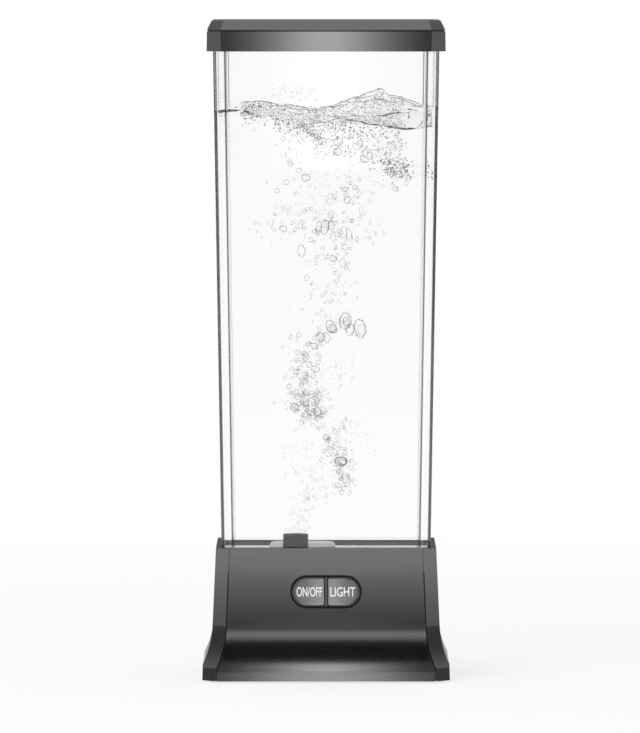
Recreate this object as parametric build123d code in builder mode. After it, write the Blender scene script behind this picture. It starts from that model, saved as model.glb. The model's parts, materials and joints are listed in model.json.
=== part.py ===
from build123d import *
from math import asin, cos, pi, sin, sqrt
import os

# Table lamp with a tall clear water tank on a flared base that holds a pump and a light.
# Millimetres. +Z is up, the buttons face -Y, and the origin is on the table under the
# middle of the lamp.

# Whole lamp
total_height = 304.8
foot_width = 114.3
foot_depth = 84.0
foot_gap = 0.8

# Outside of the base: half sizes at the rim, at the waist where the flare begins, at the
# top of the foot's upright band and at the band's lower edge, and the corner cuts there.
# The band is higher on the sides than in front and behind.
base_height = 61.7
waist_height = 25.6
side_band_height = 8.0
band_height = 5.1
side_halves = (50.9, 52.5, 56.95, foot_width / 2)
front_halves = (34.0, 35.5, 41.2, foot_depth / 2)
corner_cuts = (6.1, 6.3, 6.4, 6.25)
base_wall = 2.0
lip_wall = 4.0
lip_start = 38.0
lip_heights = (15.0, 46.0)
seam_gap = 0.25
panel_slack = 0.1
base_edge = 0.4
panel_edge = 0.3
edge_heights = (2 * foot_gap, base_height + 1)
hook_spot = 30.0
hook_half = 4.0
hook_drop = 2.6
hook_overlap = 2.0

# Deck that carries the tank, and the pocket above it
deck_low = 50.3
deck_top = 52.3
deck_front = 31.9
pocket_half = (48.7, 32.4)
pocket_cut = 5.2
light_opening = (76.0, 46.0)
board_corner = 2.0

# Tank: a clear box with cut corners, a little wider at the top. Its half sizes and its corner
# cut are those at the gauge height.
tank_wall = 2.2
tank_gauge = 61.0
tank_low = 53.3
tank_floor = 55.8
tank_top = 301.1
tank_rim_half = (48.31, 32.0)
tank_draft = 0.0164
tank_cut = 5.4
tank_cut_growth = 0.00125
tank_edge = 0.8
gasket_inset = 0.4
gasket_opening = (83.0, 53.0)
diffuser_top = 59.4

# Pump: a round well in the tank's floor, with a cover over it and an outlet nozzle that stands
# in a seat at the cover's front, a little proud of it
pump_x = -10.9
well_radius = 12.0
well_wall = 1.8
well_floor = 46.2
well_low = 44.4
cover_size = (30.3, 27.0)
cover_corner = 8.0
cover_wall = 1.8
cover_top = 62.6
cover_roof = 1.9
cover_edge = 1.7
intake_slots = 5
intake_pitch = 3.4
intake_width = 1.8
intake_low = 3.8
intake_height = 0.8
nozzle_x = -14.1
nozzle_y = -9.1
nozzle_radius = 5.8
nozzle_bore = 3.0
nozzle_low = 59.6
nozzle_top = 67.0
nozzle_slack = 0.05
seat_wall = 1.2
seat_floor = 1.6
nozzle_edge = 0.5

# Lid: a cap with a bevelled top that covers the tank's upper edge
lid_low = 290.6
lid_bevel_low = 300.5
lid_roof_low = 302.2
lid_lower = (55.0, 38.4, 6.8)
lid_middle = (54.8, 38.15, 6.3)
lid_upper = (52.6, 36.15, 5.7)
lid_inside = (52.5, 36.2, 5.7)
lip_outer = (49.4, 33.1, 4.0)
lip_thickness = 1.6
lip_low = 294.0
lid_edge = 0.4
lid_groove = (299.7, 300.35)
lid_groove_depth = 0.45
seal_outer = (52.3, 36.0, 5.6)

# Buttons: two half-pill caps in a pill-shaped frame with a divider
button_height = 41.6
opening_size = (32.8, 14.9)
opening_bevel = 0.15
frame_size = (31.0, 13.2)
frame_inner = (30.2, 12.5)
frame_front = 0.3
frame_plate_front = 2.15
frame_plate_back = 3.35
frame_plate = (36.0, 17.6)
frame_ear = (54.0, 7.0)
divider_width = 1.5
cap_size = (29.7, 12.0)
cap_gap = 0.2
cap_crown = 60.0
cap_front = 0.9
cap_edge = 0.35
cap_stop = (33.4, 15.2)
cap_stop_front = 3.4
cap_stop_back = 4.4
stem_x = 8.0
stem_radius = 1.5
plunger_front = 6.0
plunger_back = 7.8
plunger_radius = 1.7
switch_front = 7.0
switch_size = 6.0
switch_recess = 8.5
board_front = 10.5
board_thickness = 1.6
switch_board = (54.0, 13.0)
post_x = 24.0
post_radius = 2.5
switch_screw_length = 6.5

# Light board under the deck
light_board = (92.0, 52.0)
light_board_low = 48.2
light_board_top = 49.4
light_screw_spots = (43.0, 20.0)
light_screw_length = 3.0
led_size = 5.0
led_height = 1.4
led_pitch = (22.0, 20.0)
led_lens_radius = 2.0
led_lens_depth = 0.3

# Bottom cover, feet and the screws that hold the cover
cover_low = 1.0
cover_plate_top = 3.4
cover_inset = 2.3
cover_screw_spots = (36.0, 34.5)
boss_radius = 3.0
boss_top = 12.0
boss_roof = 1.0
foot_spots = (44.0, 29.0)
foot_radius = 5.0
foot_recess = 1.0
foot_edge = 0.4
pilot_roof = 1.2

# Motor on its tower under the well
tower_low = 5.2
tower_flange = 2.0
tower_flange_radius = 21.5
tower_radius = 14.2
tower_top = 32.5
tower_bore = 9.2
tower_window_half = 5.0
tower_window = (9.2, 17.0)
tower_screw_circle = 18.0
tower_screw_count = 3
tower_screw_length = 4.5
motor_radius = 12.2
motor_low = 20.0
motor_top = 32.3
motor_nose_radius = 3.5
motor_nose_top = 33.6
motor_edge = 0.8
motor_floor = 0.3
shaft_radius = 1.0
shaft_low = 21.5
shaft_top = 42.6
disc_radius = 10.0
disc_low = 39.0
disc_top = 43.2
disc_hub = 2.0
magnet_radius = 3.0
magnet_height = 2.3
magnet_circle = 6.4
magnets = 4
running_gap = 0.04

# Impeller in the well
impeller_radius = 11.0
impeller_low = 46.9
impeller_disc_top = 50.3
impeller_top = 55.0
vanes = 6
vane_thickness = 1.2
hub_radius = 3.0
vane_inset = 0.8
pin_radius = 1.0
pin_chamfer = 0.3
pin_low = 45.2
pin_top = 56.6

# Control board beside the tower, with its parts
control_board = (36.0, 48.0)
control_x = 32.0
control_low = 7.4
control_top = 9.0
control_screw_spots = (14.0, 20.0)
control_screw_length = 5.5
chip_x = 33.0
chip_size = (6.0, 8.0, 1.6)
chip_legs = 4
chip_leg_pitch = 2.0
chip_leg_size = (8.4, 0.6, 0.5)
capacitor_spot = (43.0, 8.0)
capacitor_radius = 3.2
capacitor_height = 7.0
capacitor_edge = 0.5

# Power socket in the back wall
socket_x = 30.0
socket_height = 34.0
socket_radius = 4.0
socket_flange_radius = 5.5
socket_flange = 1.8
socket_depth = 11.0
socket_bore = 2.9
socket_bore_depth = 9.0
socket_pin_radius = 1.0
socket_edge = 0.5
pin_edge = 0.4
nut_flats = 11.0
nut_height = 2.0

# Small clearances and screws
slack = 0.1
skin = 0.05
board_gap = 0.4
small_screw = 0.95
small_head = 1.9
small_head_height = 1.4
cover_screw = 1.25
cover_head = 2.5
cover_head_height = 1.2
pilot_slack = 0.05
cross_reach = 1.3
cross_width = 0.25

# Wires: spacing, bends, and where their straight runs lie
wire_radius = 0.6
motor_wires = (-1.5, 1.5)
motor_wire_offset = 4.0
motor_wire_drop = 7.0
motor_wire_bend = 2.5
motor_wire_x = 17.0
light_wires = (-9.0, -7.0)
light_wire_x = (38.0, 43.0)
light_wire_levels = (36.0, 24.0)
light_wire_bend = 9.0
switch_wires = (16.0, 18.0, 20.0)
switch_wire_start = 2.0
switch_wire_run = 7.0
switch_wire_y = -12.0
switch_wire_level = 30.0
switch_wire_bend = 4.0
power_wires = (-1.5, 1.5)
power_wire_y = 14.0
power_wire_drop = 1.0
power_wire_bend = 6.0


# Heights and slopes of the base's outline

upper_run = base_height - waist_height
front_growth = front_halves[1] - front_halves[0]
front_arc = (upper_run**2 + front_growth**2) / (2 * front_growth)
side_slope = (side_halves[1] - side_halves[0]) / upper_run
corner_slope = side_slope / sqrt(2)
corner_band_height = (side_band_height + band_height) / 2
corner_halves = tuple(
    (side + front - cut) / sqrt(2) for side, front, cut in zip(side_halves, front_halves, corner_cuts)
)
seam_halves = tuple(side - cut for side, cut in zip(side_halves, corner_cuts))
diagonal_planes = (
    Plane((0, 0, 0), x_dir=(1, 1, 0), z_dir=(1, -1, 0)),
    Plane((0, 0, 0), x_dir=(1, -1, 0), z_dir=(-1, -1, 0)),
)


def front_half(height):
    """Half depth of the base at a height between its waist and its rim."""
    drop = base_height - height
    return front_halves[0] + front_arc - sqrt(front_arc**2 - drop**2)


def front_tilt(height):
    """Angle in radians by which the front leans back there."""
    return asin((base_height - height) / front_arc)


def wall_plane(x, height, side):
    """Plane on the base's front (side -1) or back (side 1), facing outwards, with y up."""
    tilt = front_tilt(height)
    return Plane(
        (x, side * front_half(height), height),
        x_dir=(-side, 0, 0),
        z_dir=(0, side * cos(tilt), sin(tilt)),
    )


button_plane = wall_plane(0, button_height, -1)
socket_plane = wall_plane(socket_x, socket_height, 1)


# Shared forms

def flared_prism(plane, halves, slope, bowed, inset, low, band_level=band_height):
    """Prism with the base's outline, straight or bowed above the waist."""
    rim, waist, band, edge = (half - inset for half in halves)
    with BuildPart() as prism:
        with BuildSketch(plane):
            with BuildLine():
                if bowed:
                    upper = TangentArc((rim, base_height), (waist, waist_height), tangent=(slope, -1))
                else:
                    upper = Line((rim, base_height), (waist, waist_height))
                flare = TangentArc(upper @ 1, (band, band_level), tangent=upper % 1)
                Line(flare @ 1, (edge, low))
                Line((edge, low), (0, low))
                Line((0, low), (0, base_height))
                Line((0, base_height), (rim, base_height))
            make_face()
            mirror(about=Plane.YZ)
        extrude(amount=foot_width, both=True)
    return prism.part


def flared_body(inset, low, high):
    """The base's outer form, drawn in by inset, between two heights."""
    with BuildPart() as body:
        add(flared_prism(Plane.XZ, side_halves, side_slope, False, inset, low, side_band_height))
        add(flared_prism(Plane.YZ, front_halves, 0, True, inset, low), mode=Mode.INTERSECT)
        for plane in diagonal_planes:
            add(
                flared_prism(plane, corner_halves, corner_slope, True, inset, low, corner_band_height),
                mode=Mode.INTERSECT,
            )
        if high < base_height:
            with BuildSketch(Plane.XY.offset(high)):
                Rectangle(2 * foot_width, 2 * foot_width)
            extrude(amount=base_height, mode=Mode.SUBTRACT)
    return body.part


def cut_corners(half_x, half_y, cut):
    """Corner points of a rectangle with its corners cut off at 45 degrees."""
    right = [(half_x, cut - half_y), (half_x, half_y - cut)]
    back = [(half_x - cut, half_y), (cut - half_x, half_y)]
    left = [(-half_x, half_y - cut), (-half_x, cut - half_y)]
    front = [(cut - half_x, -half_y), (half_x - cut, -half_y)]
    return right + back + left + front


def eight_sided(*levels):
    """Block with straight sides between levels of (height, half x, half y, corner cut)."""
    with BuildPart() as block:
        for height, half_x, half_y, cut in levels:
            with BuildSketch(Plane.XY.offset(height)):
                Polygon(*cut_corners(half_x, half_y, cut), align=None)
        loft(ruled=True)
    return block.part


def box_between(low, high):
    """Plain block between two corners."""
    with BuildPart() as block:
        with BuildSketch(Plane.XY.offset(low[2])):
            with Locations(((low[0] + high[0]) / 2, (low[1] + high[1]) / 2)):
                Rectangle(high[0] - low[0], high[1] - low[1])
        extrude(amount=high[2] - low[2])
    return block.part


def tank_level(height, inset):
    """The tank's section at a height, drawn in by inset all round."""
    rise = height - tank_gauge
    half_x = tank_rim_half[0] + tank_draft * rise - inset
    half_y = tank_rim_half[1] + tank_draft * rise - inset
    cut = tank_cut + tank_cut_growth * rise - inset * (2 - sqrt(2))
    return height, half_x, half_y, cut


def inset_level(height, section, inset):
    """A section of (half x, half y, corner cut) drawn in by inset, at a height."""
    half_x, half_y, cut = section
    return height, half_x - inset, half_y - inset, cut - inset * (2 - sqrt(2))


def rising(part):
    """Edges of a body that run up and down."""
    return part.edges().filter_by(lambda edge: abs(edge.tangent_at(0.5).Z) > 0.5)


def rounded_block(low, high, radius):
    """Eight-sided block between two levels, with its upright edges rounded."""
    with BuildPart() as block:
        add(eight_sided(low, high))
        fillet(rising(block), radius)
    return block.part


def mirrored_spots(x, y):
    """The same spot in all four quarters."""
    return [(x, y), (-x, y), (-x, -y), (x, -y)]


def wire(points, bend):
    """Insulated wire along straight runs joined by bends."""
    with BuildPart() as run:
        with BuildLine() as route:
            FilletPolyline(*points, radius=bend)
        with BuildSketch(Plane(route.line @ 0, z_dir=route.line % 0)):
            Circle(wire_radius)
        sweep()
    return run.part


def screws(plane, spots, radius, length, head, head_height):
    """Round-headed screws: heads stand out of the plane, shanks run back through it."""
    with BuildPart() as group:
        with BuildSketch(plane):
            with Locations(*spots):
                Circle(head)
        extrude(amount=head_height)
        outward = Axis(plane.origin, plane.z_dir)
        fillet(group.faces().filter_by(GeomType.PLANE).group_by(outward)[-1].edges(), head_height / 3)
        with BuildSketch(plane):
            with Locations(*spots):
                Circle(radius)
        extrude(amount=-length)
        with BuildSketch(plane.offset(head_height)):
            with Locations(*spots):
                Rectangle(head * cross_reach, head * cross_width)
                Rectangle(head * cross_width, head * cross_reach)
        extrude(amount=-head_height / 2, mode=Mode.SUBTRACT)
    return group.part


# Base shell: sides, back, cut corners and the deck under the tank

outside = flared_body(0, foot_gap, base_height)
cavity = flared_body(base_wall, foot_gap - 1, deck_low)
deep_cavity = flared_body(lip_wall, foot_gap - 1, deck_low)
panel_cavity = flared_body(base_wall - panel_slack, foot_gap - 1, deck_low)
seam_reach = flared_prism(Plane.XZ, seam_halves, side_slope, False, 0, foot_gap - 1)
panel_reach = flared_prism(Plane.XZ, seam_halves, side_slope, False, seam_gap, foot_gap - 1)
front_space = box_between((-foot_width, -foot_depth, -foot_gap), (foot_width, -deck_front / 2, total_height))

pocket = eight_sided((deck_top, *pocket_half, pocket_cut), (base_height + 1, *pocket_half, pocket_cut))
outward_front = Axis(button_plane.origin, button_plane.z_dir)
outward_back = Axis(socket_plane.origin, socket_plane.z_dir)

with BuildPart() as lips:
    for side in (-1, 1):
        with BuildSketch(Plane.XY.offset(lip_heights[0])):
            with Locations((side * (lip_start + foot_width / 2), -foot_depth / 2)):
                Rectangle(foot_width, foot_depth / 2)
        extrude(amount=lip_heights[1] - lip_heights[0])

with BuildPart() as shell_space:
    add(cavity)
    add(lips.part, mode=Mode.SUBTRACT)
    add(deep_cavity)

with BuildPart() as panel_space:
    add(seam_reach)
    add(front_space, mode=Mode.INTERSECT)
    add(cavity, mode=Mode.SUBTRACT)
    add(
        box_between((-foot_width, -deck_front, deck_low), (foot_width, 0, total_height)),
        mode=Mode.SUBTRACT,
    )

with BuildPart() as back_bosses:
    with BuildSketch(Plane.XY.offset(cover_plate_top + slack)):
        with Locations(*mirrored_spots(*cover_screw_spots)[:2]):
            Circle(boss_radius)
            with Locations((0, boss_radius)):
                Rectangle(boss_radius, 2 * boss_radius)
    extrude(amount=boss_top - cover_plate_top - slack)
    add(flared_body(base_wall / 2, 0, boss_top), mode=Mode.INTERSECT)

with BuildPart() as shell_outside:
    add(outside)
    fillet(shell_outside.edges().filter_by_position(Axis.Z, *edge_heights), base_edge)

with BuildPart() as base_shell:
    add(shell_outside.part)
    add(shell_space.part, mode=Mode.SUBTRACT)
    add(pocket, mode=Mode.SUBTRACT)
    add(panel_space.part, mode=Mode.SUBTRACT)
    add(back_bosses.part)
    with BuildSketch(Plane.XY.offset(light_board_top)):
        with Locations(*mirrored_spots(*light_screw_spots)):
            Circle(post_radius)
    extrude(amount=deck_low - light_board_top)
    with BuildSketch(Plane.XY.offset(deck_low)):
        RectangleRounded(*light_opening, board_corner)
    extrude(amount=deck_top - deck_low, mode=Mode.SUBTRACT)
    with BuildSketch(Plane.XY.offset(light_board_top)):
        with Locations(*mirrored_spots(*light_screw_spots)):
            Circle(small_screw + pilot_slack)
    extrude(amount=(deck_top + deck_low) / 2 + skin - light_board_top, mode=Mode.SUBTRACT)
    with BuildSketch(Plane.XY.offset(cover_plate_top)):
        with Locations(*mirrored_spots(*cover_screw_spots)[:2]):
            Circle(cover_screw + pilot_slack)
    extrude(amount=boss_top - cover_plate_top - boss_roof, mode=Mode.SUBTRACT)
    with BuildSketch(socket_plane.offset(base_wall)):
        Circle(socket_radius + slack)
    extrude(amount=-3 * base_wall, mode=Mode.SUBTRACT)

base_shell.part.label = "base_shell"
export_step(base_shell.part, "parts/base_shell.step")


# Front panel: the whole front face, with the button opening

with BuildPart() as front_bosses:
    with BuildSketch(Plane.XY.offset(cover_plate_top + slack)):
        with Locations(*mirrored_spots(*cover_screw_spots)[2:]):
            Circle(boss_radius)
            with Locations((0, -boss_radius)):
                Rectangle(boss_radius, 2 * boss_radius)
    extrude(amount=boss_top - cover_plate_top - slack)
    add(flared_body(base_wall / 2, 0, boss_top), mode=Mode.INTERSECT)

with BuildPart() as front_panel:
    add(outside)
    add(panel_reach, mode=Mode.INTERSECT)
    front_edges = front_panel.edges().filter_by_position(Axis.Y, -foot_depth, -foot_depth / 4)
    fillet(front_edges.filter_by_position(Axis.Z, *edge_heights), panel_edge)
    add(front_space, mode=Mode.INTERSECT)
    add(panel_cavity, mode=Mode.SUBTRACT)
    add(
        box_between((-foot_width, -pocket_half[1], deck_low - skin), (foot_width, 0, total_height)),
        mode=Mode.SUBTRACT,
    )
    add(front_bosses.part)
    for side in (-1, 1):
        add(
            box_between(
                (side * hook_spot - hook_half, base_wall / 2 - front_half(deck_low), deck_low - hook_drop),
                (side * hook_spot + hook_half, -light_board[1] / 2 - hook_overlap, deck_low - 2 * slack),
            )
        )
    with BuildSketch(button_plane.offset(-base_wall / 2)):
        with Locations((-post_x, 0), (post_x, 0)):
            Circle(post_radius)
    extrude(amount=base_wall / 2 - board_front)
    with BuildSketch(button_plane.offset(-board_front)):
        with Locations((-post_x, 0), (post_x, 0)):
            Circle(small_screw + pilot_slack)
    extrude(amount=board_front - 2 * base_wall, mode=Mode.SUBTRACT)
    with BuildSketch(button_plane.offset(base_wall / 2)):
        SlotOverall(*opening_size)
    extrude(amount=-2 * base_wall, mode=Mode.SUBTRACT)
    with BuildSketch(button_plane.offset(opening_bevel)):
        SlotOverall(opening_size[0] + 4 * opening_bevel, opening_size[1] + 4 * opening_bevel)
    extrude(amount=-2 * opening_bevel, taper=45, mode=Mode.SUBTRACT)
    with BuildSketch(Plane.XY.offset(cover_plate_top)):
        with Locations(*mirrored_spots(*cover_screw_spots)[2:]):
            Circle(cover_screw + pilot_slack)
    extrude(amount=boss_top - cover_plate_top - boss_roof, mode=Mode.SUBTRACT)

front_panel.part.label = "front_panel"
export_step(front_panel.part, "parts/front_panel.step")


# Bottom cover with recesses for the feet, posts for the control board and pads for the tower

tower_spots = [
    (
        pump_x + tower_screw_circle * cos(2 * pi * turn / tower_screw_count + pi),
        tower_screw_circle * sin(2 * pi * turn / tower_screw_count + pi),
    )
    for turn in range(tower_screw_count)
]
control_spots = [(control_x + x, y) for x, y in mirrored_spots(*control_screw_spots)]

with BuildPart() as bottom_cover:
    add(flared_body(cover_inset, cover_low, cover_plate_top))
    with BuildSketch(Plane.XY.offset(cover_plate_top)):
        with Locations(*tower_spots):
            Circle(boss_radius)
    extrude(amount=tower_low - cover_plate_top)
    with BuildSketch(Plane.XY.offset(cover_plate_top)):
        with Locations(*control_spots):
            Circle(post_radius)
    extrude(amount=control_low - cover_plate_top)
    with BuildSketch(Plane.XY.offset(cover_low)):
        with Locations(*mirrored_spots(*foot_spots)):
            Circle(foot_radius + slack)
    extrude(amount=foot_recess, mode=Mode.SUBTRACT)
    with BuildSketch(Plane.XY.offset(cover_low)):
        with Locations(*mirrored_spots(*cover_screw_spots)):
            Circle(cover_head + slack)
    extrude(amount=cover_head_height + skin, mode=Mode.SUBTRACT)
    with BuildSketch(Plane.XY.offset(cover_low)):
        with Locations(*mirrored_spots(*cover_screw_spots)):
            Circle(cover_screw + slack)
    extrude(amount=cover_plate_top, mode=Mode.SUBTRACT)
    with BuildSketch(Plane.XY.offset(cover_low + pilot_roof)):
        with Locations(*tower_spots, *control_spots):
            Circle(small_screw + pilot_slack)
    extrude(amount=control_low, mode=Mode.SUBTRACT)

bottom_cover.part.label = "bottom_cover"
export_step(bottom_cover.part, "parts/bottom_cover.step")

with BuildPart() as rubber_feet:
    with BuildSketch():
        with Locations(*mirrored_spots(*foot_spots)):
            Circle(foot_radius)
    extrude(amount=cover_low + foot_recess)
    fillet(rubber_feet.faces().filter_by(GeomType.PLANE).group_by(Axis.Z)[0].edges(), foot_edge)

rubber_feet.part.label = "rubber_feet"
export_step(rubber_feet.part, "parts/rubber_feet.step")

cover_screw_plane = Plane((0, 0, cover_low + cover_head_height + skin), x_dir=(1, 0, 0), z_dir=(0, 0, -1))

with BuildPart() as cover_screws:
    add(
        screws(
            cover_screw_plane,
            mirrored_spots(*cover_screw_spots),
            cover_screw,
            boss_top - cover_plate_top - 2 * boss_roof,
            cover_head,
            cover_head_height,
        )
    )

cover_screws.part.label = "cover_screws"
export_step(cover_screws.part, "parts/cover_screws.step")


# Tank with the pump's well in its floor, and the ring that it stands on

with BuildPart() as tank:
    add(rounded_block(tank_level(tank_low, 0), tank_level(tank_top, 0), tank_edge))
    with BuildSketch(Plane.XY.offset(well_low)):
        with Locations((pump_x, 0)):
            Circle(well_radius + well_wall)
    extrude(amount=tank_low - well_low)
    add(
        rounded_block(
            tank_level(tank_floor, tank_wall), tank_level(tank_top + 1, tank_wall), tank_edge
        ),
        mode=Mode.SUBTRACT,
    )
    with BuildSketch(Plane.XY.offset(well_floor)):
        with Locations((pump_x, 0)):
            Circle(well_radius)
    extrude(amount=tank_floor - well_floor, mode=Mode.SUBTRACT)
    with BuildSketch(Plane.XY.offset(pin_low)):
        with Locations((pump_x, 0)):
            Circle(pin_radius + running_gap / 2)
    extrude(amount=well_floor - pin_low, mode=Mode.SUBTRACT)

tank.part.label = "tank"
export_step(tank.part, "parts/tank.step")

with BuildPart() as tank_gasket:
    with BuildSketch(Plane.XY.offset(deck_top)):
        Polygon(
            *cut_corners(tank_rim_half[0] - gasket_inset, tank_rim_half[1] - gasket_inset, tank_cut),
            align=None,
        )
        RectangleRounded(*gasket_opening, board_corner, mode=Mode.SUBTRACT)
    extrude(amount=tank_low - deck_top)

tank_gasket.part.label = "tank_gasket"
export_step(tank_gasket.part, "parts/tank_gasket.step")

# White sheet on the tank's floor that spreads the light, with a hole for the pump cover

with BuildPart() as diffuser:
    add(
        eight_sided(
            tank_level(tank_floor, tank_wall + board_gap), tank_level(diffuser_top, tank_wall + board_gap)
        )
    )
    with BuildSketch(Plane.XY.offset(tank_floor)):
        with Locations((pump_x, 0)):
            RectangleRounded(
                cover_size[0] + 2 * board_gap, cover_size[1] + 2 * board_gap, cover_corner + board_gap
            )
    extrude(amount=diffuser_top - tank_floor, mode=Mode.SUBTRACT)

diffuser.part.label = "diffuser"
export_step(diffuser.part, "parts/diffuser.step")


# Lid with its inner lip and a fine groove round it under the bevel, and the seal between the
# lid and the tank's edge

with BuildPart() as lid_groove_space:
    add(
        eight_sided(
            inset_level(lid_groove[0], lid_lower, -1), inset_level(lid_groove[1], lid_lower, -1)
        )
    )
    add(
        eight_sided(
            inset_level(lid_groove[0], lid_middle, lid_groove_depth),
            inset_level(lid_groove[1], lid_middle, lid_groove_depth),
        ),
        mode=Mode.SUBTRACT,
    )

with BuildPart() as lid:
    add(
        eight_sided(
            (lid_low, *lid_lower),
            (lid_bevel_low, *lid_middle),
            (total_height, *lid_upper),
        )
    )
    fillet(lid.edges().filter_by_position(Axis.Z, lid_low + 1, total_height + 1), lid_edge)
    add(lid_groove_space.part, mode=Mode.SUBTRACT)
    add(eight_sided((lid_low - 1, *lid_inside), (lid_roof_low, *lid_inside)), mode=Mode.SUBTRACT)
    add(eight_sided((lip_low, *lip_outer), (lid_roof_low + 1, *lip_outer)))
    add(
        eight_sided(
            inset_level(lip_low - 1, lip_outer, lip_thickness),
            inset_level(lid_roof_low, lip_outer, lip_thickness),
        ),
        mode=Mode.SUBTRACT,
    )

lid.part.label = "lid"
export_step(lid.part, "parts/lid.step")

with BuildPart() as lid_seal:
    with BuildSketch(Plane.XY.offset(tank_top)):
        Polygon(*cut_corners(*seal_outer), align=None)
        Polygon(
            *cut_corners(lip_outer[0] + slack, lip_outer[1] + slack, lip_outer[2]),
            align=None,
            mode=Mode.SUBTRACT,
        )
    extrude(amount=lid_roof_low - tank_top)

lid_seal.part.label = "lid_seal"
export_step(lid_seal.part, "parts/lid_seal.step")


# Pump cover with intake slots in its back wall and the nozzle's seat at its front

cover_inside = (
    cover_size[0] - 2 * cover_wall,
    cover_size[1] - 2 * cover_wall,
    cover_corner - cover_wall,
)
seat_low = nozzle_low - seat_floor

with BuildPart() as pump_cover:
    with BuildSketch(Plane.XY.offset(tank_floor)):
        with Locations((pump_x, 0)):
            RectangleRounded(*cover_size, cover_corner)
    extrude(amount=cover_top - tank_floor)
    fillet(pump_cover.faces().sort_by(Axis.Z)[-1].edges(), cover_edge)
    with BuildSketch(Plane.XY.offset(tank_floor)):
        with Locations((pump_x, 0)):
            RectangleRounded(*cover_inside)
    extrude(amount=seat_low - tank_floor, mode=Mode.SUBTRACT)
    with BuildSketch(Plane.XY.offset(seat_low)):
        with Locations((pump_x, 0)):
            RectangleRounded(*cover_inside)
        with Locations((nozzle_x, nozzle_y)):
            Circle(nozzle_radius + seat_wall, mode=Mode.SUBTRACT)
    extrude(amount=cover_top - cover_roof - seat_low, mode=Mode.SUBTRACT)
    with BuildSketch(Plane.XY.offset(nozzle_low - skin)):
        with Locations((nozzle_x, nozzle_y)):
            Circle(nozzle_radius + nozzle_slack)
    extrude(amount=cover_top - nozzle_low + 1, mode=Mode.SUBTRACT)
    with BuildSketch(Plane.XY.offset(seat_low)):
        with Locations((nozzle_x, nozzle_y)):
            Circle(nozzle_bore)
    extrude(amount=seat_floor, mode=Mode.SUBTRACT)
    with BuildSketch(Plane.XY.offset(tank_floor + intake_low)):
        with Locations((pump_x, cover_size[1] / 2)):
            with GridLocations(intake_pitch, 0, intake_slots, 1):
                Rectangle(intake_width, 4 * cover_wall)
    extrude(amount=intake_height, mode=Mode.SUBTRACT)

pump_cover.part.label = "pump_cover"
export_step(pump_cover.part, "parts/pump_cover.step")

with BuildPart() as nozzle:
    with BuildSketch(Plane.XY.offset(nozzle_low)):
        with Locations((nozzle_x, nozzle_y)):
            Circle(nozzle_radius)
    extrude(amount=nozzle_top - nozzle_low)
    fillet(nozzle.faces().sort_by(Axis.Z)[-1].edges(), nozzle_edge)
    with BuildSketch(Plane.XY.offset(nozzle_low)):
        with Locations((nozzle_x, nozzle_y)):
            Circle(nozzle_bore)
    extrude(amount=nozzle_top - nozzle_low, mode=Mode.SUBTRACT)

nozzle.part.label = "nozzle"
export_step(nozzle.part, "parts/nozzle.step")


# Impeller with its magnets, turning on a fixed pin in the well

magnet_spots = [
    (
        pump_x + magnet_circle * cos(2 * pi * turn / magnets),
        magnet_circle * sin(2 * pi * turn / magnets),
    )
    for turn in range(magnets)
]

with BuildPart() as impeller:
    with BuildSketch(Plane.XY.offset(impeller_low)):
        with Locations((pump_x, 0)):
            Circle(impeller_radius)
    extrude(amount=impeller_disc_top - impeller_low)
    with BuildSketch(Plane.XY.offset(impeller_disc_top)):
        with Locations((pump_x, 0)):
            Circle(hub_radius)
            with PolarLocations(0, vanes):
                with Locations(((hub_radius + impeller_radius) / 2 - vane_inset, 0)):
                    Rectangle(impeller_radius - hub_radius, vane_thickness)
    extrude(amount=impeller_top - impeller_disc_top)
    with BuildSketch(Plane.XY.offset(impeller_low)):
        with Locations((pump_x, 0)):
            Circle(pin_radius + running_gap)
    extrude(amount=impeller_top - impeller_low, mode=Mode.SUBTRACT)
    with BuildSketch(Plane.XY.offset(impeller_low)):
        with Locations(*magnet_spots):
            Circle(magnet_radius + skin)
    extrude(amount=magnet_height + skin, mode=Mode.SUBTRACT)

impeller.part.label = "impeller"
export_step(impeller.part, "parts/impeller.step")

with BuildPart() as impeller_magnets:
    with BuildSketch(Plane.XY.offset(impeller_low)):
        with Locations(*magnet_spots):
            Circle(magnet_radius)
    extrude(amount=magnet_height)

impeller_magnets.part.label = "impeller_magnets"
export_step(impeller_magnets.part, "parts/impeller_magnets.step")

with BuildPart() as impeller_pin:
    with BuildSketch(Plane.XY.offset(pin_low)):
        with Locations((pump_x, 0)):
            Circle(pin_radius)
    extrude(amount=pin_top - pin_low)
    chamfer(impeller_pin.faces().sort_by(Axis.Z)[-1].edges(), pin_chamfer)

impeller_pin.part.label = "impeller_pin"
export_step(impeller_pin.part, "parts/impeller_pin.step")


# Motor, its tower, and the magnet disc on its shaft

with BuildPart() as motor_tower:
    with BuildSketch(Plane.XY.offset(tower_low)):
        with Locations((pump_x, 0)):
            Circle(tower_flange_radius)
    extrude(amount=tower_flange)
    with BuildSketch(Plane.XY.offset(tower_low)):
        with Locations((pump_x, 0)):
            Circle(tower_radius)
    extrude(amount=tower_top - tower_low)
    with BuildSketch(Plane.XY.offset(tower_low)):
        with Locations((pump_x, 0)):
            Circle(tower_bore)
    extrude(amount=tower_top - tower_low, mode=Mode.SUBTRACT)
    with BuildSketch(Plane.XY.offset(motor_low)):
        with Locations((pump_x, 0)):
            Circle(motor_radius + slack)
    extrude(amount=tower_top - motor_low, mode=Mode.SUBTRACT)
    with BuildSketch(Plane.XY.offset(tower_low)):
        with Locations(*tower_spots):
            Circle(small_screw + slack)
    extrude(amount=tower_flange, mode=Mode.SUBTRACT)
    add(
        box_between(
            (pump_x, -tower_window_half, tower_window[0]),
            (pump_x + 2 * tower_radius, tower_window_half, tower_window[1]),
        ),
        mode=Mode.SUBTRACT,
    )

motor_tower.part.label = "motor_tower"
export_step(motor_tower.part, "parts/motor_tower.step")

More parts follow.
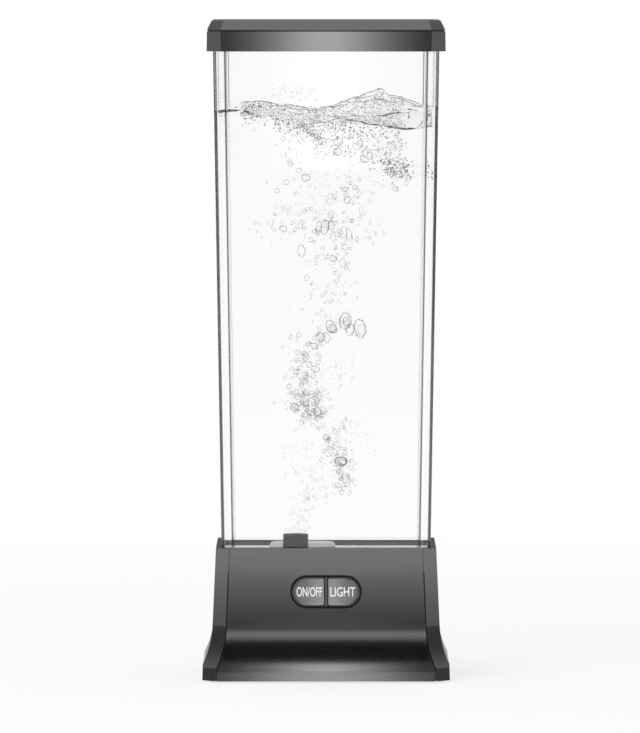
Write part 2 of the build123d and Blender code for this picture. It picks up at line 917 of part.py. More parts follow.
with BuildPart() as tower_screws:
    add(
        screws(
            Plane.XY.offset(tower_low + tower_flange),
            tower_spots,
            small_screw,
            tower_screw_length,
            small_head,
            small_head_height,
        )
    )

tower_screws.part.label = "tower_screws"
export_step(tower_screws.part, "parts/tower_screws.step")

with BuildPart() as pump_motor:
    with BuildSketch(Plane.XY.offset(motor_low)):
        with Locations((pump_x, 0)):
            Circle(motor_radius)
    extrude(amount=motor_top - motor_low)
    fillet(pump_motor.faces().sort_by(Axis.Z)[-1].edges(), motor_edge)
    with BuildSketch(Plane.XY.offset(motor_top)):
        with Locations((pump_x, 0)):
            Circle(motor_nose_radius)
    extrude(amount=motor_nose_top - motor_top)
    with BuildSketch(Plane.XY.offset(shaft_low - motor_floor)):
        with Locations((pump_x, 0)):
            Circle(shaft_radius + running_gap)
    extrude(amount=motor_top, mode=Mode.SUBTRACT)

pump_motor.part.label = "pump_motor"
export_step(pump_motor.part, "parts/pump_motor.step")

with BuildPart() as motor_shaft:
    with BuildSketch(Plane.XY.offset(shaft_low)):
        with Locations((pump_x, 0)):
            Circle(shaft_radius)
    extrude(amount=shaft_top - shaft_low)

motor_shaft.part.label = "motor_shaft"
export_step(motor_shaft.part, "parts/motor_shaft.step")

with BuildPart() as drive_disc:
    with BuildSketch(Plane.XY.offset(disc_low)):
        with Locations((pump_x, 0)):
            Circle(disc_radius)
    extrude(amount=disc_top - disc_low)
    with BuildSketch(Plane.XY.offset(disc_low - disc_hub)):
        with Locations((pump_x, 0)):
            Circle(hub_radius)
    extrude(amount=disc_hub)
    with BuildSketch(Plane.XY.offset(disc_low - disc_hub)):
        with Locations((pump_x, 0)):
            Circle(shaft_radius + running_gap / 2)
    extrude(amount=disc_top, mode=Mode.SUBTRACT)
    with BuildSketch(Plane.XY.offset(disc_top)):
        with Locations(*magnet_spots):
            Circle(magnet_radius + skin)
    extrude(amount=-magnet_height - skin, mode=Mode.SUBTRACT)

drive_disc.part.label = "drive_disc"
export_step(drive_disc.part, "parts/drive_disc.step")

with BuildPart() as drive_magnets:
    with BuildSketch(Plane.XY.offset(disc_top)):
        with Locations(*magnet_spots):
            Circle(magnet_radius)
    extrude(amount=-magnet_height)

drive_magnets.part.label = "drive_magnets"
export_step(drive_magnets.part, "parts/drive_magnets.step")


# Light board with its LEDs, screwed up under the deck

with BuildPart() as led_board:
    with BuildSketch(Plane.XY.offset(light_board_low)):
        RectangleRounded(*light_board, board_corner)
        with Locations((pump_x, 0)):
            Circle(well_radius + well_wall + 2 * board_gap, mode=Mode.SUBTRACT)
        with Locations(*mirrored_spots(*light_screw_spots)):
            Circle(small_screw + slack, mode=Mode.SUBTRACT)
    extrude(amount=light_board_top - light_board_low)

led_board.part.label = "led_board"
export_step(led_board.part, "parts/led_board.step")

led_spots = [
    (column * led_pitch[0], row * led_pitch[1])
    for column in (-1.5, -0.5, 0.5, 1.5)
    for row in (-1, 0, 1)
    if (column, row) != (-0.5, 0)
]

with BuildPart() as leds:
    with BuildSketch(Plane.XY.offset(light_board_top)):
        with Locations(*led_spots):
            Rectangle(led_size, led_size)
    extrude(amount=led_height)
    with BuildSketch(Plane.XY.offset(light_board_top + led_height)):
        with Locations(*led_spots):
            Circle(led_lens_radius)
    extrude(amount=-led_lens_depth, mode=Mode.SUBTRACT)

leds.part.label = "leds"
export_step(leds.part, "parts/leds.step")

with BuildPart() as light_board_screws:
    add(
        screws(
            Plane((0, 0, light_board_low), x_dir=(1, 0, 0), z_dir=(0, 0, -1)),
            mirrored_spots(*light_screw_spots),
            small_screw,
            light_screw_length,
            small_head,
            small_head_height,
        )
    )

light_board_screws.part.label = "light_board_screws"
export_step(light_board_screws.part, "parts/light_board_screws.step")


# Buttons: frame with its divider, two caps, two plungers, two switches on their board

with BuildPart() as button_frame:
    with BuildSketch(button_plane.offset(-frame_plate_back)):
        SlotOverall(*frame_size)
    extrude(amount=frame_plate_back + frame_front)
    fillet(button_frame.faces().sort_by(outward_front)[-1].edges(), cap_gap)
    with BuildSketch(button_plane.offset(-frame_plate_back)):
        SlotOverall(*frame_plate)
        Rectangle(*frame_ear)
        with Locations((-post_x, 0), (post_x, 0)):
            Circle(post_radius + slack, mode=Mode.SUBTRACT)
    extrude(amount=frame_plate_back - frame_plate_front)
    with BuildSketch(button_plane.offset(-2 * frame_plate_back)):
        SlotOverall(*frame_inner)
        Rectangle(divider_width, frame_inner[1], mode=Mode.SUBTRACT)
    extrude(amount=4 * frame_plate_back, mode=Mode.SUBTRACT)

button_frame.part.label = "button_frame"
export_step(button_frame.part, "parts/button_frame.step")

crown_plane = Plane(button_plane.origin, x_dir=(1, 0, 0), z_dir=-button_plane.y_dir)


def button_cap(side):
    """Half-pill cap with a crowned face, a stop behind the frame and a stem."""
    middle = side * (divider_width / 2 + cap_gap + cap_size[0] / 2)
    with BuildPart() as cap:
        with BuildSketch(button_plane.offset(-cap_stop_front)):
            SlotOverall(*cap_size)
            with Locations((middle, 0)):
                Rectangle(cap_size[0], cap_size[1], mode=Mode.INTERSECT)
        extrude(amount=cap_stop_front + cap_front)
        with BuildSketch(crown_plane):
            with Locations((0, cap_front - cap_crown)):
                Circle(cap_crown)
        extrude(amount=cap_size[1], both=True, mode=Mode.INTERSECT)
        fillet(cap.faces().sort_by(outward_front)[-1].edges(), cap_edge)
        with BuildSketch(button_plane.offset(-cap_stop_back)):
            SlotOverall(*cap_stop)
            with Locations((middle, 0)):
                Rectangle(cap_size[0], cap_stop[1], mode=Mode.INTERSECT)
        extrude(amount=cap_stop_back - cap_stop_front)
        with BuildSketch(button_plane.offset(-plunger_front)):
            with Locations((side * stem_x, 0)):
                Circle(stem_radius)
        extrude(amount=plunger_front - cap_stop_back)
    return cap.part


def button_plunger(side):
    """Switch plunger that the cap's stem pushes."""
    with BuildPart() as plunger:
        with BuildSketch(button_plane.offset(-plunger_back)):
            with Locations((side * stem_x, 0)):
                Circle(plunger_radius)
        extrude(amount=plunger_back - plunger_front)
    return plunger.part


with BuildPart() as on_off_button:
    add(button_cap(-1))

on_off_button.part.label = "on_off_button"
export_step(on_off_button.part, "parts/on_off_button.step")

with BuildPart() as light_button:
    add(button_cap(1))

light_button.part.label = "light_button"
export_step(light_button.part, "parts/light_button.step")

with BuildPart() as on_off_plunger:
    add(button_plunger(-1))

on_off_plunger.part.label = "on_off_plunger"
export_step(on_off_plunger.part, "parts/on_off_plunger.step")

with BuildPart() as light_plunger:
    add(button_plunger(1))

light_plunger.part.label = "light_plunger"
export_step(light_plunger.part, "parts/light_plunger.step")

with BuildPart() as push_switches:
    with BuildSketch(button_plane.offset(-board_front)):
        with Locations((-stem_x, 0), (stem_x, 0)):
            Rectangle(switch_size, switch_size)
    extrude(amount=board_front - switch_front)
    with BuildSketch(button_plane.offset(-switch_recess)):
        with Locations((-stem_x, 0), (stem_x, 0)):
            Circle(plunger_radius + slack)
    extrude(amount=switch_recess, mode=Mode.SUBTRACT)

push_switches.part.label = "push_switches"
export_step(push_switches.part, "parts/push_switches.step")

with BuildPart() as switch_board_plate:
    with BuildSketch(button_plane.offset(-board_front - board_thickness)):
        RectangleRounded(*switch_board, board_corner / 2)
        with Locations((-post_x, 0), (post_x, 0)):
            Circle(small_screw + slack, mode=Mode.SUBTRACT)
    extrude(amount=board_thickness)

switch_board_plate.part.label = "switch_board"
export_step(switch_board_plate.part, "parts/switch_board.step")

board_back = button_plane.offset(-board_front - board_thickness)

with BuildPart() as switch_board_screws:
    add(
        screws(
            Plane(board_back.origin, x_dir=(1, 0, 0), z_dir=-board_back.z_dir),
            [(-post_x, 0), (post_x, 0)],
            small_screw,
            switch_screw_length,
            small_head,
            small_head_height,
        )
    )

switch_board_screws.part.label = "switch_board_screws"
export_step(switch_board_screws.part, "parts/switch_board_screws.step")


# Power socket in the back wall, with its contact pin and its nut

with BuildPart() as power_socket:
    with BuildSketch(socket_plane.offset(skin)):
        Circle(socket_flange_radius)
    extrude(amount=socket_flange)
    fillet(power_socket.faces().sort_by(outward_back)[-1].edges(), socket_edge)
    with BuildSketch(socket_plane.offset(skin)):
        Circle(socket_radius)
    extrude(amount=-socket_depth)
    with BuildSketch(socket_plane.offset(skin + socket_flange)):
        Circle(socket_bore)
    extrude(amount=-socket_bore_depth, mode=Mode.SUBTRACT)

power_socket.part.label = "power_socket"
export_step(power_socket.part, "parts/power_socket.step")

with BuildPart() as power_pin:
    with BuildSketch(socket_plane.offset(skin + socket_flange - socket_bore_depth)):
        Circle(socket_pin_radius)
    extrude(amount=socket_bore_depth - socket_flange)
    fillet(power_pin.faces().sort_by(outward_back)[-1].edges(), pin_edge)

power_pin.part.label = "power_pin"
export_step(power_pin.part, "parts/power_pin.step")

with BuildPart() as socket_nut:
    with BuildSketch(socket_plane.offset(-base_wall - slack)):
        RegularPolygon(nut_flats / 2, 6, major_radius=False)
        Circle(socket_radius + pilot_slack, mode=Mode.SUBTRACT)
    extrude(amount=-nut_height)

socket_nut.part.label = "socket_nut"
export_step(socket_nut.part, "parts/socket_nut.step")


# Control board with its parts

with BuildPart() as control_board_plate:
    with BuildSketch(Plane.XY.offset(control_low)):
        with Locations((control_x, 0)):
            RectangleRounded(*control_board, board_corner / 2)
        with Locations(*control_spots):
            Circle(small_screw + slack, mode=Mode.SUBTRACT)
    extrude(amount=control_top - control_low)

control_board_plate.part.label = "control_board"
export_step(control_board_plate.part, "parts/control_board.step")

with BuildPart() as control_board_screws:
    add(
        screws(
            Plane.XY.offset(control_top),
            control_spots,
            small_screw,
            control_screw_length,
            small_head,
            small_head_height,
        )
    )

control_board_screws.part.label = "control_board_screws"
export_step(control_board_screws.part, "parts/control_board_screws.step")

with BuildPart() as control_chip:
    with BuildSketch(Plane.XY.offset(control_top)):
        with Locations((chip_x, 0)):
            Rectangle(chip_size[0], chip_size[1])
    extrude(amount=chip_size[2])
    with BuildSketch(Plane.XY.offset(control_top)):
        with Locations((chip_x, 0)):
            with GridLocations(0, chip_leg_pitch, 1, chip_legs):
                Rectangle(chip_leg_size[0], chip_leg_size[1])
    extrude(amount=chip_leg_size[2])

control_chip.part.label = "control_chip"
export_step(control_chip.part, "parts/control_chip.step")

with BuildPart() as capacitor:
    with BuildSketch(Plane.XY.offset(control_top)):
        with Locations(capacitor_spot):
            Circle(capacitor_radius)
    extrude(amount=capacitor_height)
    fillet(capacitor.faces().sort_by(Axis.Z)[-1].edges(), capacitor_edge)

capacitor.part.label = "capacitor"
export_step(capacitor.part, "parts/capacitor.step")


# Wires: motor, light, switches and power, all ending on the control board

socket_back = socket_plane.offset(-socket_depth).origin

with BuildPart() as motor_leads:
    for y in motor_wires:
        add(
            wire(
                [
                    (pump_x + motor_wire_offset, y, motor_low),
                    (pump_x + motor_wire_offset, y, motor_low - motor_wire_drop),
                    (motor_wire_x, y, motor_low - motor_wire_drop),
                    (motor_wire_x, y, control_top),
                ],
                motor_wire_bend,
            )
        )

motor_leads.part.label = "motor_leads"
export_step(motor_leads.part, "parts/motor_leads.step")

with BuildPart() as light_leads:
    for y in light_wires:
        add(
            wire(
                [
                    (light_wire_x[0], y, light_board_low),
                    (light_wire_x[0], y, light_wire_levels[0]),
                    (light_wire_x[1], y, light_wire_levels[1]),
                    (light_wire_x[1], y, control_top),
                ],
                light_wire_bend,
            )
        )

light_leads.part.label = "light_leads"
export_step(light_leads.part, "parts/light_leads.step")

with BuildPart() as switch_leads:
    for x in switch_wires:
        add(
            wire(
                [
                    board_back.from_local_coords((x, switch_wire_start, 0)),
                    board_back.from_local_coords((x, switch_wire_start, -switch_wire_run)),
                    (x, switch_wire_y, switch_wire_level),
                    (x, switch_wire_y, control_top),
                ],
                switch_wire_bend,
            )
        )

switch_leads.part.label = "switch_leads"
export_step(switch_leads.part, "parts/switch_leads.step")

with BuildPart() as power_leads:
    for x in power_wires:
        add(
            wire(
                [
                    (socket_x + x, socket_back.Y, socket_back.Z),
                    (socket_x + x, power_wire_y, socket_back.Z - power_wire_drop),
                    (socket_x + x, power_wire_y, control_top),
                ],
                power_wire_bend,
            )
        )

power_leads.part.label = "power_leads"
export_step(power_leads.part, "parts/power_leads.step")
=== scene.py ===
import json
import math
import random

import bmesh
import bpy
import numpy as np
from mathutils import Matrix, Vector, noise


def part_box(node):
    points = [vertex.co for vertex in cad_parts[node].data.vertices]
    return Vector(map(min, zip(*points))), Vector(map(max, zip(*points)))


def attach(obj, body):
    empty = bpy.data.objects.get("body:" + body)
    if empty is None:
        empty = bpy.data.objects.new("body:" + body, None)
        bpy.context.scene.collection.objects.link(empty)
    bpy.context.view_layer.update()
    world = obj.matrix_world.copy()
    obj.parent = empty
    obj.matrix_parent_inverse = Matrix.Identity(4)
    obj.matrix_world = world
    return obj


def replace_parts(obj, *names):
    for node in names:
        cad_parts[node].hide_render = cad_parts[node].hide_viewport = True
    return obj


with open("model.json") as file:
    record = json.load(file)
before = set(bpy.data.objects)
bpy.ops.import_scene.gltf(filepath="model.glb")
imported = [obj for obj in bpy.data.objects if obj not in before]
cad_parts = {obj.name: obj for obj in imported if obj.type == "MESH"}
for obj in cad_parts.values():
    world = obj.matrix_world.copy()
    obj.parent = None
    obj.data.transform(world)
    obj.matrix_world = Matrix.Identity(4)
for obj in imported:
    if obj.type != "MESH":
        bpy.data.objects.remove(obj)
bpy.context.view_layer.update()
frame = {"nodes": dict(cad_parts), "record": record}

MM = 0.001
random.seed(7)

# Sizes shared with the CAD source, in millimetres
tank_gauge = 61.0
tank_rim_half = (48.31, 32.0)
tank_draft = 0.0164
tank_cut = 5.4
tank_cut_growth = 0.00125
tank_wall = 2.2
water_low = 59.35
base_height = 61.7
lid_groove = (299.65, 300.4)
waist_height = 25.6
rim_half = 34.0
waist_half = 35.5
button_height = 41.6
cap_front = 0.9
cap_crown = 60.0
front_run = base_height - waist_height
front_arc = (front_run**2 + (waist_half - rim_half) ** 2) / (2 * (waist_half - rim_half))
button_tilt = math.asin((base_height - button_height) / front_arc)
button_depth = rim_half + front_arc * (1 - math.cos(button_tilt))

# The picture in pixels: its size, the lamp's middle line and the scale at the lamp
picture_wide = 640
picture_high = 733
lamp_middle = 325.95
pixels_per_mm = 2.15

# Camera, in millimetres
camera_x = -2.82
camera_far = 3400.0
camera_high = 335.0
camera_tilt = math.radians(3.22)
sensor_width = 36
lens_length = 359.6
focal_pixels = lens_length / sensor_width * picture_high


def place(px, py, depth=0.0):
    """X and height in millimetres of what shows at a place in the picture, at a depth in the tank."""
    across = (px - picture_wide / 2) / focal_pixels
    up = (picture_high / 2 - py) / focal_pixels
    c, s = math.cos(camera_tilt), math.sin(camera_tilt)
    far = camera_far + depth
    drop = far * (up * c - s) / (c + up * s)
    return camera_x + across * (far * c - drop * s), camera_high + drop


# Node trees

class Tree:
    """Short calls for building a material's or the world's nodes."""

    def __init__(self, owner, fresh=True):
        owner.use_nodes = True
        self.nodes = owner.node_tree.nodes
        self.links = owner.node_tree.links
        if fresh:
            self.nodes.clear()

    def add(self, kind, values=None, **settings):
        """Node of a kind, its inputs set to values or linked to other nodes' outputs."""
        made = self.nodes.new(kind)
        for name, value in settings.items():
            setattr(made, name, value)
        for socket, value in (values or {}).items():
            if isinstance(value, bpy.types.NodeSocket):
                self.links.new(value, made.inputs[socket])
            else:
                made.inputs[socket].default_value = value
        return made

    def axes(self, kind="Object"):
        """The three parts of a texture coordinate."""
        vector = self.add("ShaderNodeTexCoord").outputs[kind]
        return self.add("ShaderNodeSeparateXYZ", {0: vector}).outputs

    def math(self, operation, first, second=None, third=None, clamp=False):
        values = {i: v for i, v in enumerate((first, second, third)) if v is not None}
        return self.add("ShaderNodeMath", values, operation=operation, use_clamp=clamp).outputs[0]

    def ramp(self, factor, stops, mode="LINEAR"):
        """Grey or colour that follows a factor through stops of (position, value)."""
        made = self.add("ShaderNodeValToRGB", {0: factor})
        ramp = made.color_ramp
        ramp.interpolation = mode
        while len(ramp.elements) < len(stops):
            ramp.elements.new(0.5)
        for element, (position, value) in zip(ramp.elements, stops):
            element.position = position
        for element, (position, value) in zip(ramp.elements, stops):
            element.color = (*value, 1) if isinstance(value, tuple) else (value, value, value, 1)
        return made.outputs[0]

    def noise(self, scale, detail, rough=0.5):
        vector = self.add("ShaderNodeTexCoord").outputs["Object"]
        values = {"Vector": vector, "Scale": scale, "Detail": detail, "Roughness": rough}
        return self.add("ShaderNodeTexNoise", values).outputs["Fac"]

    def mix(self, factor, first, second, blend="MIX"):
        made = self.add("ShaderNodeMix", data_type="RGBA", blend_type=blend)
        for socket, value in ((0, factor), (6, first), (7, second)):
            if isinstance(value, bpy.types.NodeSocket):
                self.links.new(value, made.inputs[socket])
            elif isinstance(value, tuple):
                made.inputs[socket].default_value = (*value, 1)
            else:
                made.inputs[socket].default_value = value
        return made.outputs[2]


def shaded(colour, factor):
    return tuple(channel * factor for channel in colour)


# Opaque surfaces

cloud_stops = ((0.3, 0.0), (0.7, 1.0))
dull_rough = 0.95


def surface(
    name, colour, rough, spread=0.12, grain=2400, depth=0.02, broad=60, rough_spread=0.06, dull=None,
    **sockets,
):
    """Moulded or pressed surface: cloudy colour, uneven gloss and a fine grain.

    It can be dull between two heights, in millimetres.
    """
    made = bpy.data.materials.new(name)
    tree = Tree(made)
    clouds = tree.ramp(tree.noise(broad, detail=4.0, rough=0.6), cloud_stops)
    patches = tree.noise(broad * 6, detail=3.0)
    fine = tree.noise(grain, detail=3.0, rough=0.6)
    tone = tree.mix(clouds, shaded(colour, 1 - spread), shaded(colour, 1 + spread))
    gloss = tree.math("MULTIPLY_ADD", patches, 2 * rough_spread, rough - rough_spread)
    if dull:
        low, high = dull
        within = tree.math("COMPARE", tree.axes()[2], (low + high) / 2 * MM, (high - low) / 2 * MM)
        gloss = tree.math("MAXIMUM", gloss, tree.math("MULTIPLY", within, dull_rough))
    bump = tree.add("ShaderNodeBump", {"Strength": 0.5, "Distance": depth * MM, "Height": fine})
    shader = tree.add(
        "ShaderNodeBsdfPrincipled",
        {"Base Color": tone, "Roughness": gloss, "Normal": bump.outputs[0], **sockets},
    )
    tree.add("ShaderNodeOutputMaterial", {"Surface": shader.outputs[0]})
    return made


# Clear surfaces

# Painted shade: dark lines along the edges where the tank's cut corners are joined to its flat sides, in
# millimetres: width to the sides and to the front, and blur
corner_shade_widths = (1.3, 0.5)
corner_shade_blur = 0.3
corner_shade_span = 10.0
outer_corner_shade_lighter = 4

# A face counts as a cut corner where neither its x nor its y direction is near nought
slant_stops = ((0.0, 0.0), (0.2, 0.0), (0.3, 1.0), (1.0, 1.0))

# The tank's foot, darkened with painted shade where it stands in the base's rim
foot_band = base_height + 0.25
rim_shade_tint = (0.35, 0.35, 0.35)

# Tints of the light that passes straight through, and of the plastic's own depth
passing_tint = (0.97, 0.975, 0.975, 1)
depth_tint = (0.12, 0.13, 0.14, 1)


def corner_shade_masks(tree):
    """Masks of painted shade along the two edges of each cut corner, where the tank's flat sides are joined
    to it.
    """
    spot = tree.axes("Object")
    facing = tree.axes("Normal")
    rise = tree.math("SUBTRACT", spot[2], tank_gauge * MM)
    least = tree.math("MINIMUM", tree.math("ABSOLUTE", facing[0]), tree.math("ABSOLUTE", facing[1]))
    slanted = tree.ramp(least, slant_stops)
    masks = []
    for axis, (half, width) in enumerate(zip(tank_rim_half, corner_shade_widths)):
        reach = tree.math("MULTIPLY_ADD", rise, tank_draft, half * MM)
        inset = tree.math("SUBTRACT", reach, tree.math("ABSOLUTE", spot[axis]))
        share = tree.math("MULTIPLY", inset, 1 / (corner_shade_span * MM))
        stops = ((0.0, 1.0), (width / corner_shade_span, 1.0), ((width + corner_shade_blur) / corner_shade_span, 0.0), (1.0, 0.0))
        masks.append(tree.math("MULTIPLY", tree.ramp(share, stops), slanted))
    return masks


def clear(name, colour, ior, density=0.0, corner_shade=None):
    """Clear plastic or water. Lamps and soft light pass straight through it."""
    made = bpy.data.materials.new(name)
    tree = Tree(made)
    tint = (*colour, 1)
    if corner_shade:
        # Painted shade: dark lines along both edges of each cut corner, the outer one lighter
        outer, inner = corner_shade_masks(tree)
        tint = tree.mix(inner, tree.mix(outer, colour, shaded(corner_shade, outer_corner_shade_lighter)), corner_shade)
        # Painted shade: the tank is darker below the top of the base's rim
        in_rim_shade = tree.math("LESS_THAN", tree.axes()[2], foot_band * MM)
        tint = tree.mix(in_rim_shade, tint, rim_shade_tint)
    wear = tree.noise(scale=700, detail=3.0)
    bump = tree.add("ShaderNodeBump", {"Strength": 0.05, "Distance": 0.001 * MM, "Height": wear})
    values = {"Base Color": tint, "Roughness": 0.0, "IOR": ior, "Transmission Weight": 1.0}
    glass = tree.add("ShaderNodeBsdfPrincipled", {**values, "Normal": bump.outputs[0]})
    passing = tree.add("ShaderNodeBsdfTransparent", {"Color": passing_tint})
    path = tree.add("ShaderNodeLightPath").outputs
    soft = tree.math("MAXIMUM", path["Is Shadow Ray"], path["Is Diffuse Ray"])
    both = tree.add("ShaderNodeMixShader", {0: soft, 1: glass.outputs[0], 2: passing.outputs[0]})
    sockets = {"Surface": both.outputs[0]}
    if density:
        volume = tree.add("ShaderNodeVolumeAbsorption", {"Color": depth_tint, "Density": density})
        sockets["Volume"] = volume.outputs[0]
    tree.add("ShaderNodeOutputMaterial", sockets)
    return made


# How much a bubble's ring of painted shade wavers, and how much darker its painted shade is on its right and
# under it
film_uneven = 0.3
film_shade_lean = 0.1


def bubble_film(name, rim, middle, start, end):
    """Skin of an air bubble: clear in the middle, with painted shade that greys it towards its rim and more
    on its right and under it.
    """
    made = bpy.data.materials.new(name)
    tree = Tree(made)
    facing = tree.add("ShaderNodeLayerWeight", {"Blend": 0.5}).outputs["Facing"]
    uneven = tree.noise(scale=260, detail=2.0)
    shift = tree.math("MULTIPLY_ADD", uneven, film_uneven, -film_uneven / 2)
    turned = tree.axes("Normal")
    lean = tree.math("SUBTRACT", turned[0], turned[2])
    ring = tree.math("ADD", facing, tree.math("MULTIPLY_ADD", lean, film_shade_lean, shift))
    # Painted shade: grey from the middle tone out to the rim tone
    tone = tree.ramp(ring, ((0.0, middle), (start, middle), (end, rim), (1.0, rim)))
    passing = tree.add("ShaderNodeBsdfTransparent", {"Color": tone})
    tree.add("ShaderNodeOutputMaterial", {"Surface": passing.outputs[0]})
    return made


# Finishes of the CAD's materials

clear_colour = (0.999, 1.0, 1.0)
finish = {
    "charcoal_plastic": surface(
        "charcoal", (0.006, 0.006, 0.0065), 0.15,
        spread=0.06, grain=3200, depth=0.0012, rough_spread=0.015, dull=lid_groove,
        **{"IOR": 1.9, "Specular IOR Level": 1.0, "Coat Weight": 0.5, "Coat Roughness": 0.08},
    ),
    "button_plastic": surface(
        "button_gunmetal", (0.54, 0.54, 0.545), 0.16,
        spread=0.05, grain=3200, depth=0.0008, rough_spread=0.015,
        **{"Metallic": 0.85, "Specular IOR Level": 1.0},
    ),
    "nozzle_plastic": surface(
        "nozzle_dark", (0.004, 0.004, 0.0045), 0.42,
        grain=2600, depth=0.004,
        **{"IOR": 1.3, "Specular IOR Level": 0.3},
    ),
    "pump_grey": surface("pump_grey", (0.42, 0.42, 0.43), 0.4, spread=0.05, grain=2600, depth=0.02),
    "white_plastic": surface("white_plastic", (0.86, 0.86, 0.86), 0.45, spread=0.03, grain=2400, depth=0.02),
    "silicone": surface("silicone", (0.62, 0.62, 0.60), 0.55, spread=0.05, grain=1500, depth=0.03),
    "foot_rubber": surface("foot_rubber", (0.018, 0.018, 0.018), 0.75, grain=1400, depth=0.08),
    "screw_steel": surface("screw_steel", (0.55, 0.55, 0.54), 0.28, grain=1800, depth=0.01, Metallic=1.0),
    "motor_steel": surface("motor_steel", (0.48, 0.48, 0.47), 0.34, grain=1800, depth=0.01, Metallic=1.0),
    "magnet_nickel": surface("magnet_nickel", (0.62, 0.60, 0.56), 0.2, grain=1800, depth=0.01, Metallic=1.0),
    "circuit_board": surface("circuit_board", (0.74, 0.76, 0.74), 0.35, spread=0.2, grain=1200, depth=0.02),
    "led_white": surface("led_white", (0.80, 0.78, 0.62), 0.3, spread=0.05, grain=2000, depth=0.01),
    "black_plastic": surface("black_plastic", (0.02, 0.02, 0.02), 0.45, grain=2200, depth=0.02),
    "contact_brass": surface("contact_brass", (0.70, 0.50, 0.22), 0.25, grain=1800, depth=0.01, Metallic=1.0),
    "wire_insulation": surface("wire_insulation", (0.10, 0.012, 0.010), 0.4, grain=1800, depth=0.02),
    # Clear tank, with painted shade of this grey along its cut corners
    "clear_plastic": clear("clear_tank", clear_colour, 1.49, density=5.0, corner_shade=(0.03, 0.03, 0.031)),
}

# Painted shade on the frame: the ramp on its depth spans from 2 mm behind the front to half a millimetre
# before it, black in the deep part
frame_span = 2.5
frame_front_share = 0.8
frame_stops = ((0.0, 0.0), (0.5, 0.0), (frame_front_share, 1.0), (1.0, 1.0))

# The ramp across the frame spans a centimetre from its middle: divider, gaps beside it painted black as
# shade, then the rest
divider_span = 10.0
divider_stops = ((0.0, 1.0), (0.04, 1.0), (0.055, 0.0), (0.16, 0.0), (0.2, 1.0), (1.0, 1.0))
frame_grey = (0.17, 0.17, 0.172)
# Black of the painted shade deep in the frame and in the gaps beside the divider
frame_gap_shade = (0.004, 0.004, 0.0042)
frame_metallic = 0.85


def recessed(name, front, back, rough):
    """Finish of the buttons' frame: grey on its front edge, with painted shade in black in the gaps behind it
    and beside the divider.
    """
    made = surface(name, front, rough, spread=0.05, grain=3200, depth=0.0008, rough_spread=0.015)
    tree = Tree(made, fresh=False)
    shader = tree.nodes["Principled BSDF"]
    spot = tree.axes()
    level = button_depth * math.cos(button_tilt) + button_height * math.sin(button_tilt)
    rise = tree.math("MULTIPLY_ADD", spot[2], math.sin(button_tilt) / MM, -level)
    ahead = tree.math("MULTIPLY_ADD", spot[1], -math.cos(button_tilt) / MM, rise)
    share = tree.math("MULTIPLY_ADD", ahead, 1 / frame_span, frame_front_share)
    across = tree.math("MULTIPLY", tree.math("ABSOLUTE", spot[0]), 1 / (divider_span * MM))
    shown = tree.math("MULTIPLY", tree.ramp(share, frame_stops), tree.ramp(across, divider_stops))
    tree.links.new(tree.mix(shown, back, front), shader.inputs["Base Color"])
    tree.links.new(tree.math("MULTIPLY", shown, frame_metallic), shader.inputs["Metallic"])
    return made


own_finish = {"button_frame": recessed("frame_grey", frame_grey, frame_gap_shade, 0.2)}
for part in frame["record"]["subparts"]:
    mesh = frame["nodes"][part["node"]].data
    mesh.materials.clear()
    mesh.materials.append(own_finish.get(part["node"], finish[part["material_slot"]]))


# Meshes

def mesh_object(name, points, faces, material, smooth=True):
    """Mesh from points in millimetres."""
    mesh = bpy.data.meshes.new(name)
    metres = [tuple(c * MM for c in point) for point in points]
    mesh.from_pydata(metres, [], [tuple(int(i) for i in face) for face in faces])
    mesh.materials.append(material)
    mesh.validate()
    mesh.polygons.foreach_set("use_smooth", [smooth] * len(mesh.polygons))
    made = bpy.data.objects.new(name, mesh)
    bpy.context.scene.collection.objects.link(made)
    return made


def box_object(name, low, high, material):
    """Upright box between two corners in millimetres."""
    points = [(x, y, z) for x in (low[0], high[0]) for y in (low[1], high[1]) for z in (low[2], high[2])]
    faces = [(0, 1, 3, 2), (4, 6, 7, 5), (0, 4, 5, 1), (2, 3, 7, 6), (0, 2, 6, 4), (1, 5, 7, 3)]
    return mesh_object(name, points, faces, material, smooth=False)


def final_mesh(made):
    """Mesh of an object with its modifiers or its text turned into faces."""
    bpy.context.view_layer.update()
    return bpy.data.meshes.new_from_object(made.evaluated_get(bpy.context.evaluated_depsgraph_get()))


# Pump cover

notch_side_gap = 0.1
notch_front_gap = 1.0


def open_cover():
    """The pump cover with its notch as wide as the nozzle, so that the nozzle shows down to its foot."""
    made = bpy.data.objects.new("pump_cover_open", frame["nodes"]["pump_cover"].data.copy())
    bpy.context.scene.collection.objects.link(made)
    near, far = [[value / MM for value in corner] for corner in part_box("nozzle")]
    left, front, low = near
    right, back, high = far
    cutter = box_object(
        "notch",
        (left - notch_side_gap, front - notch_front_gap, low),
        (right + notch_side_gap, (front + back) / 2, high),
        finish["pump_grey"],
    )
    cut = made.modifiers.new("notch", "BOOLEAN")
    cut.operation = "DIFFERENCE"
    cut.object = cutter
    cut.solver = "EXACT"
    shape = final_mesh(made)
    made.modifiers.clear()
    made.data = shape
    bpy.data.objects.remove(cutter)
    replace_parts(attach(made, "base"), "pump_cover")


open_cover()


# Water

def inside_section(height, overlap):
    """Half sizes and corner cut of the water at a height, just inside the tank's walls."""
    rise = height - tank_gauge
    inset = tank_wall - overlap
    half_x = tank_rim_half[0] + tank_draft * rise - inset
    half_y = tank_rim_half[1] + tank_draft * rise - inset
    cut = tank_cut + tank_cut_growth * rise - inset * (2 - math.sqrt(2))
    return half_x, half_y, cut


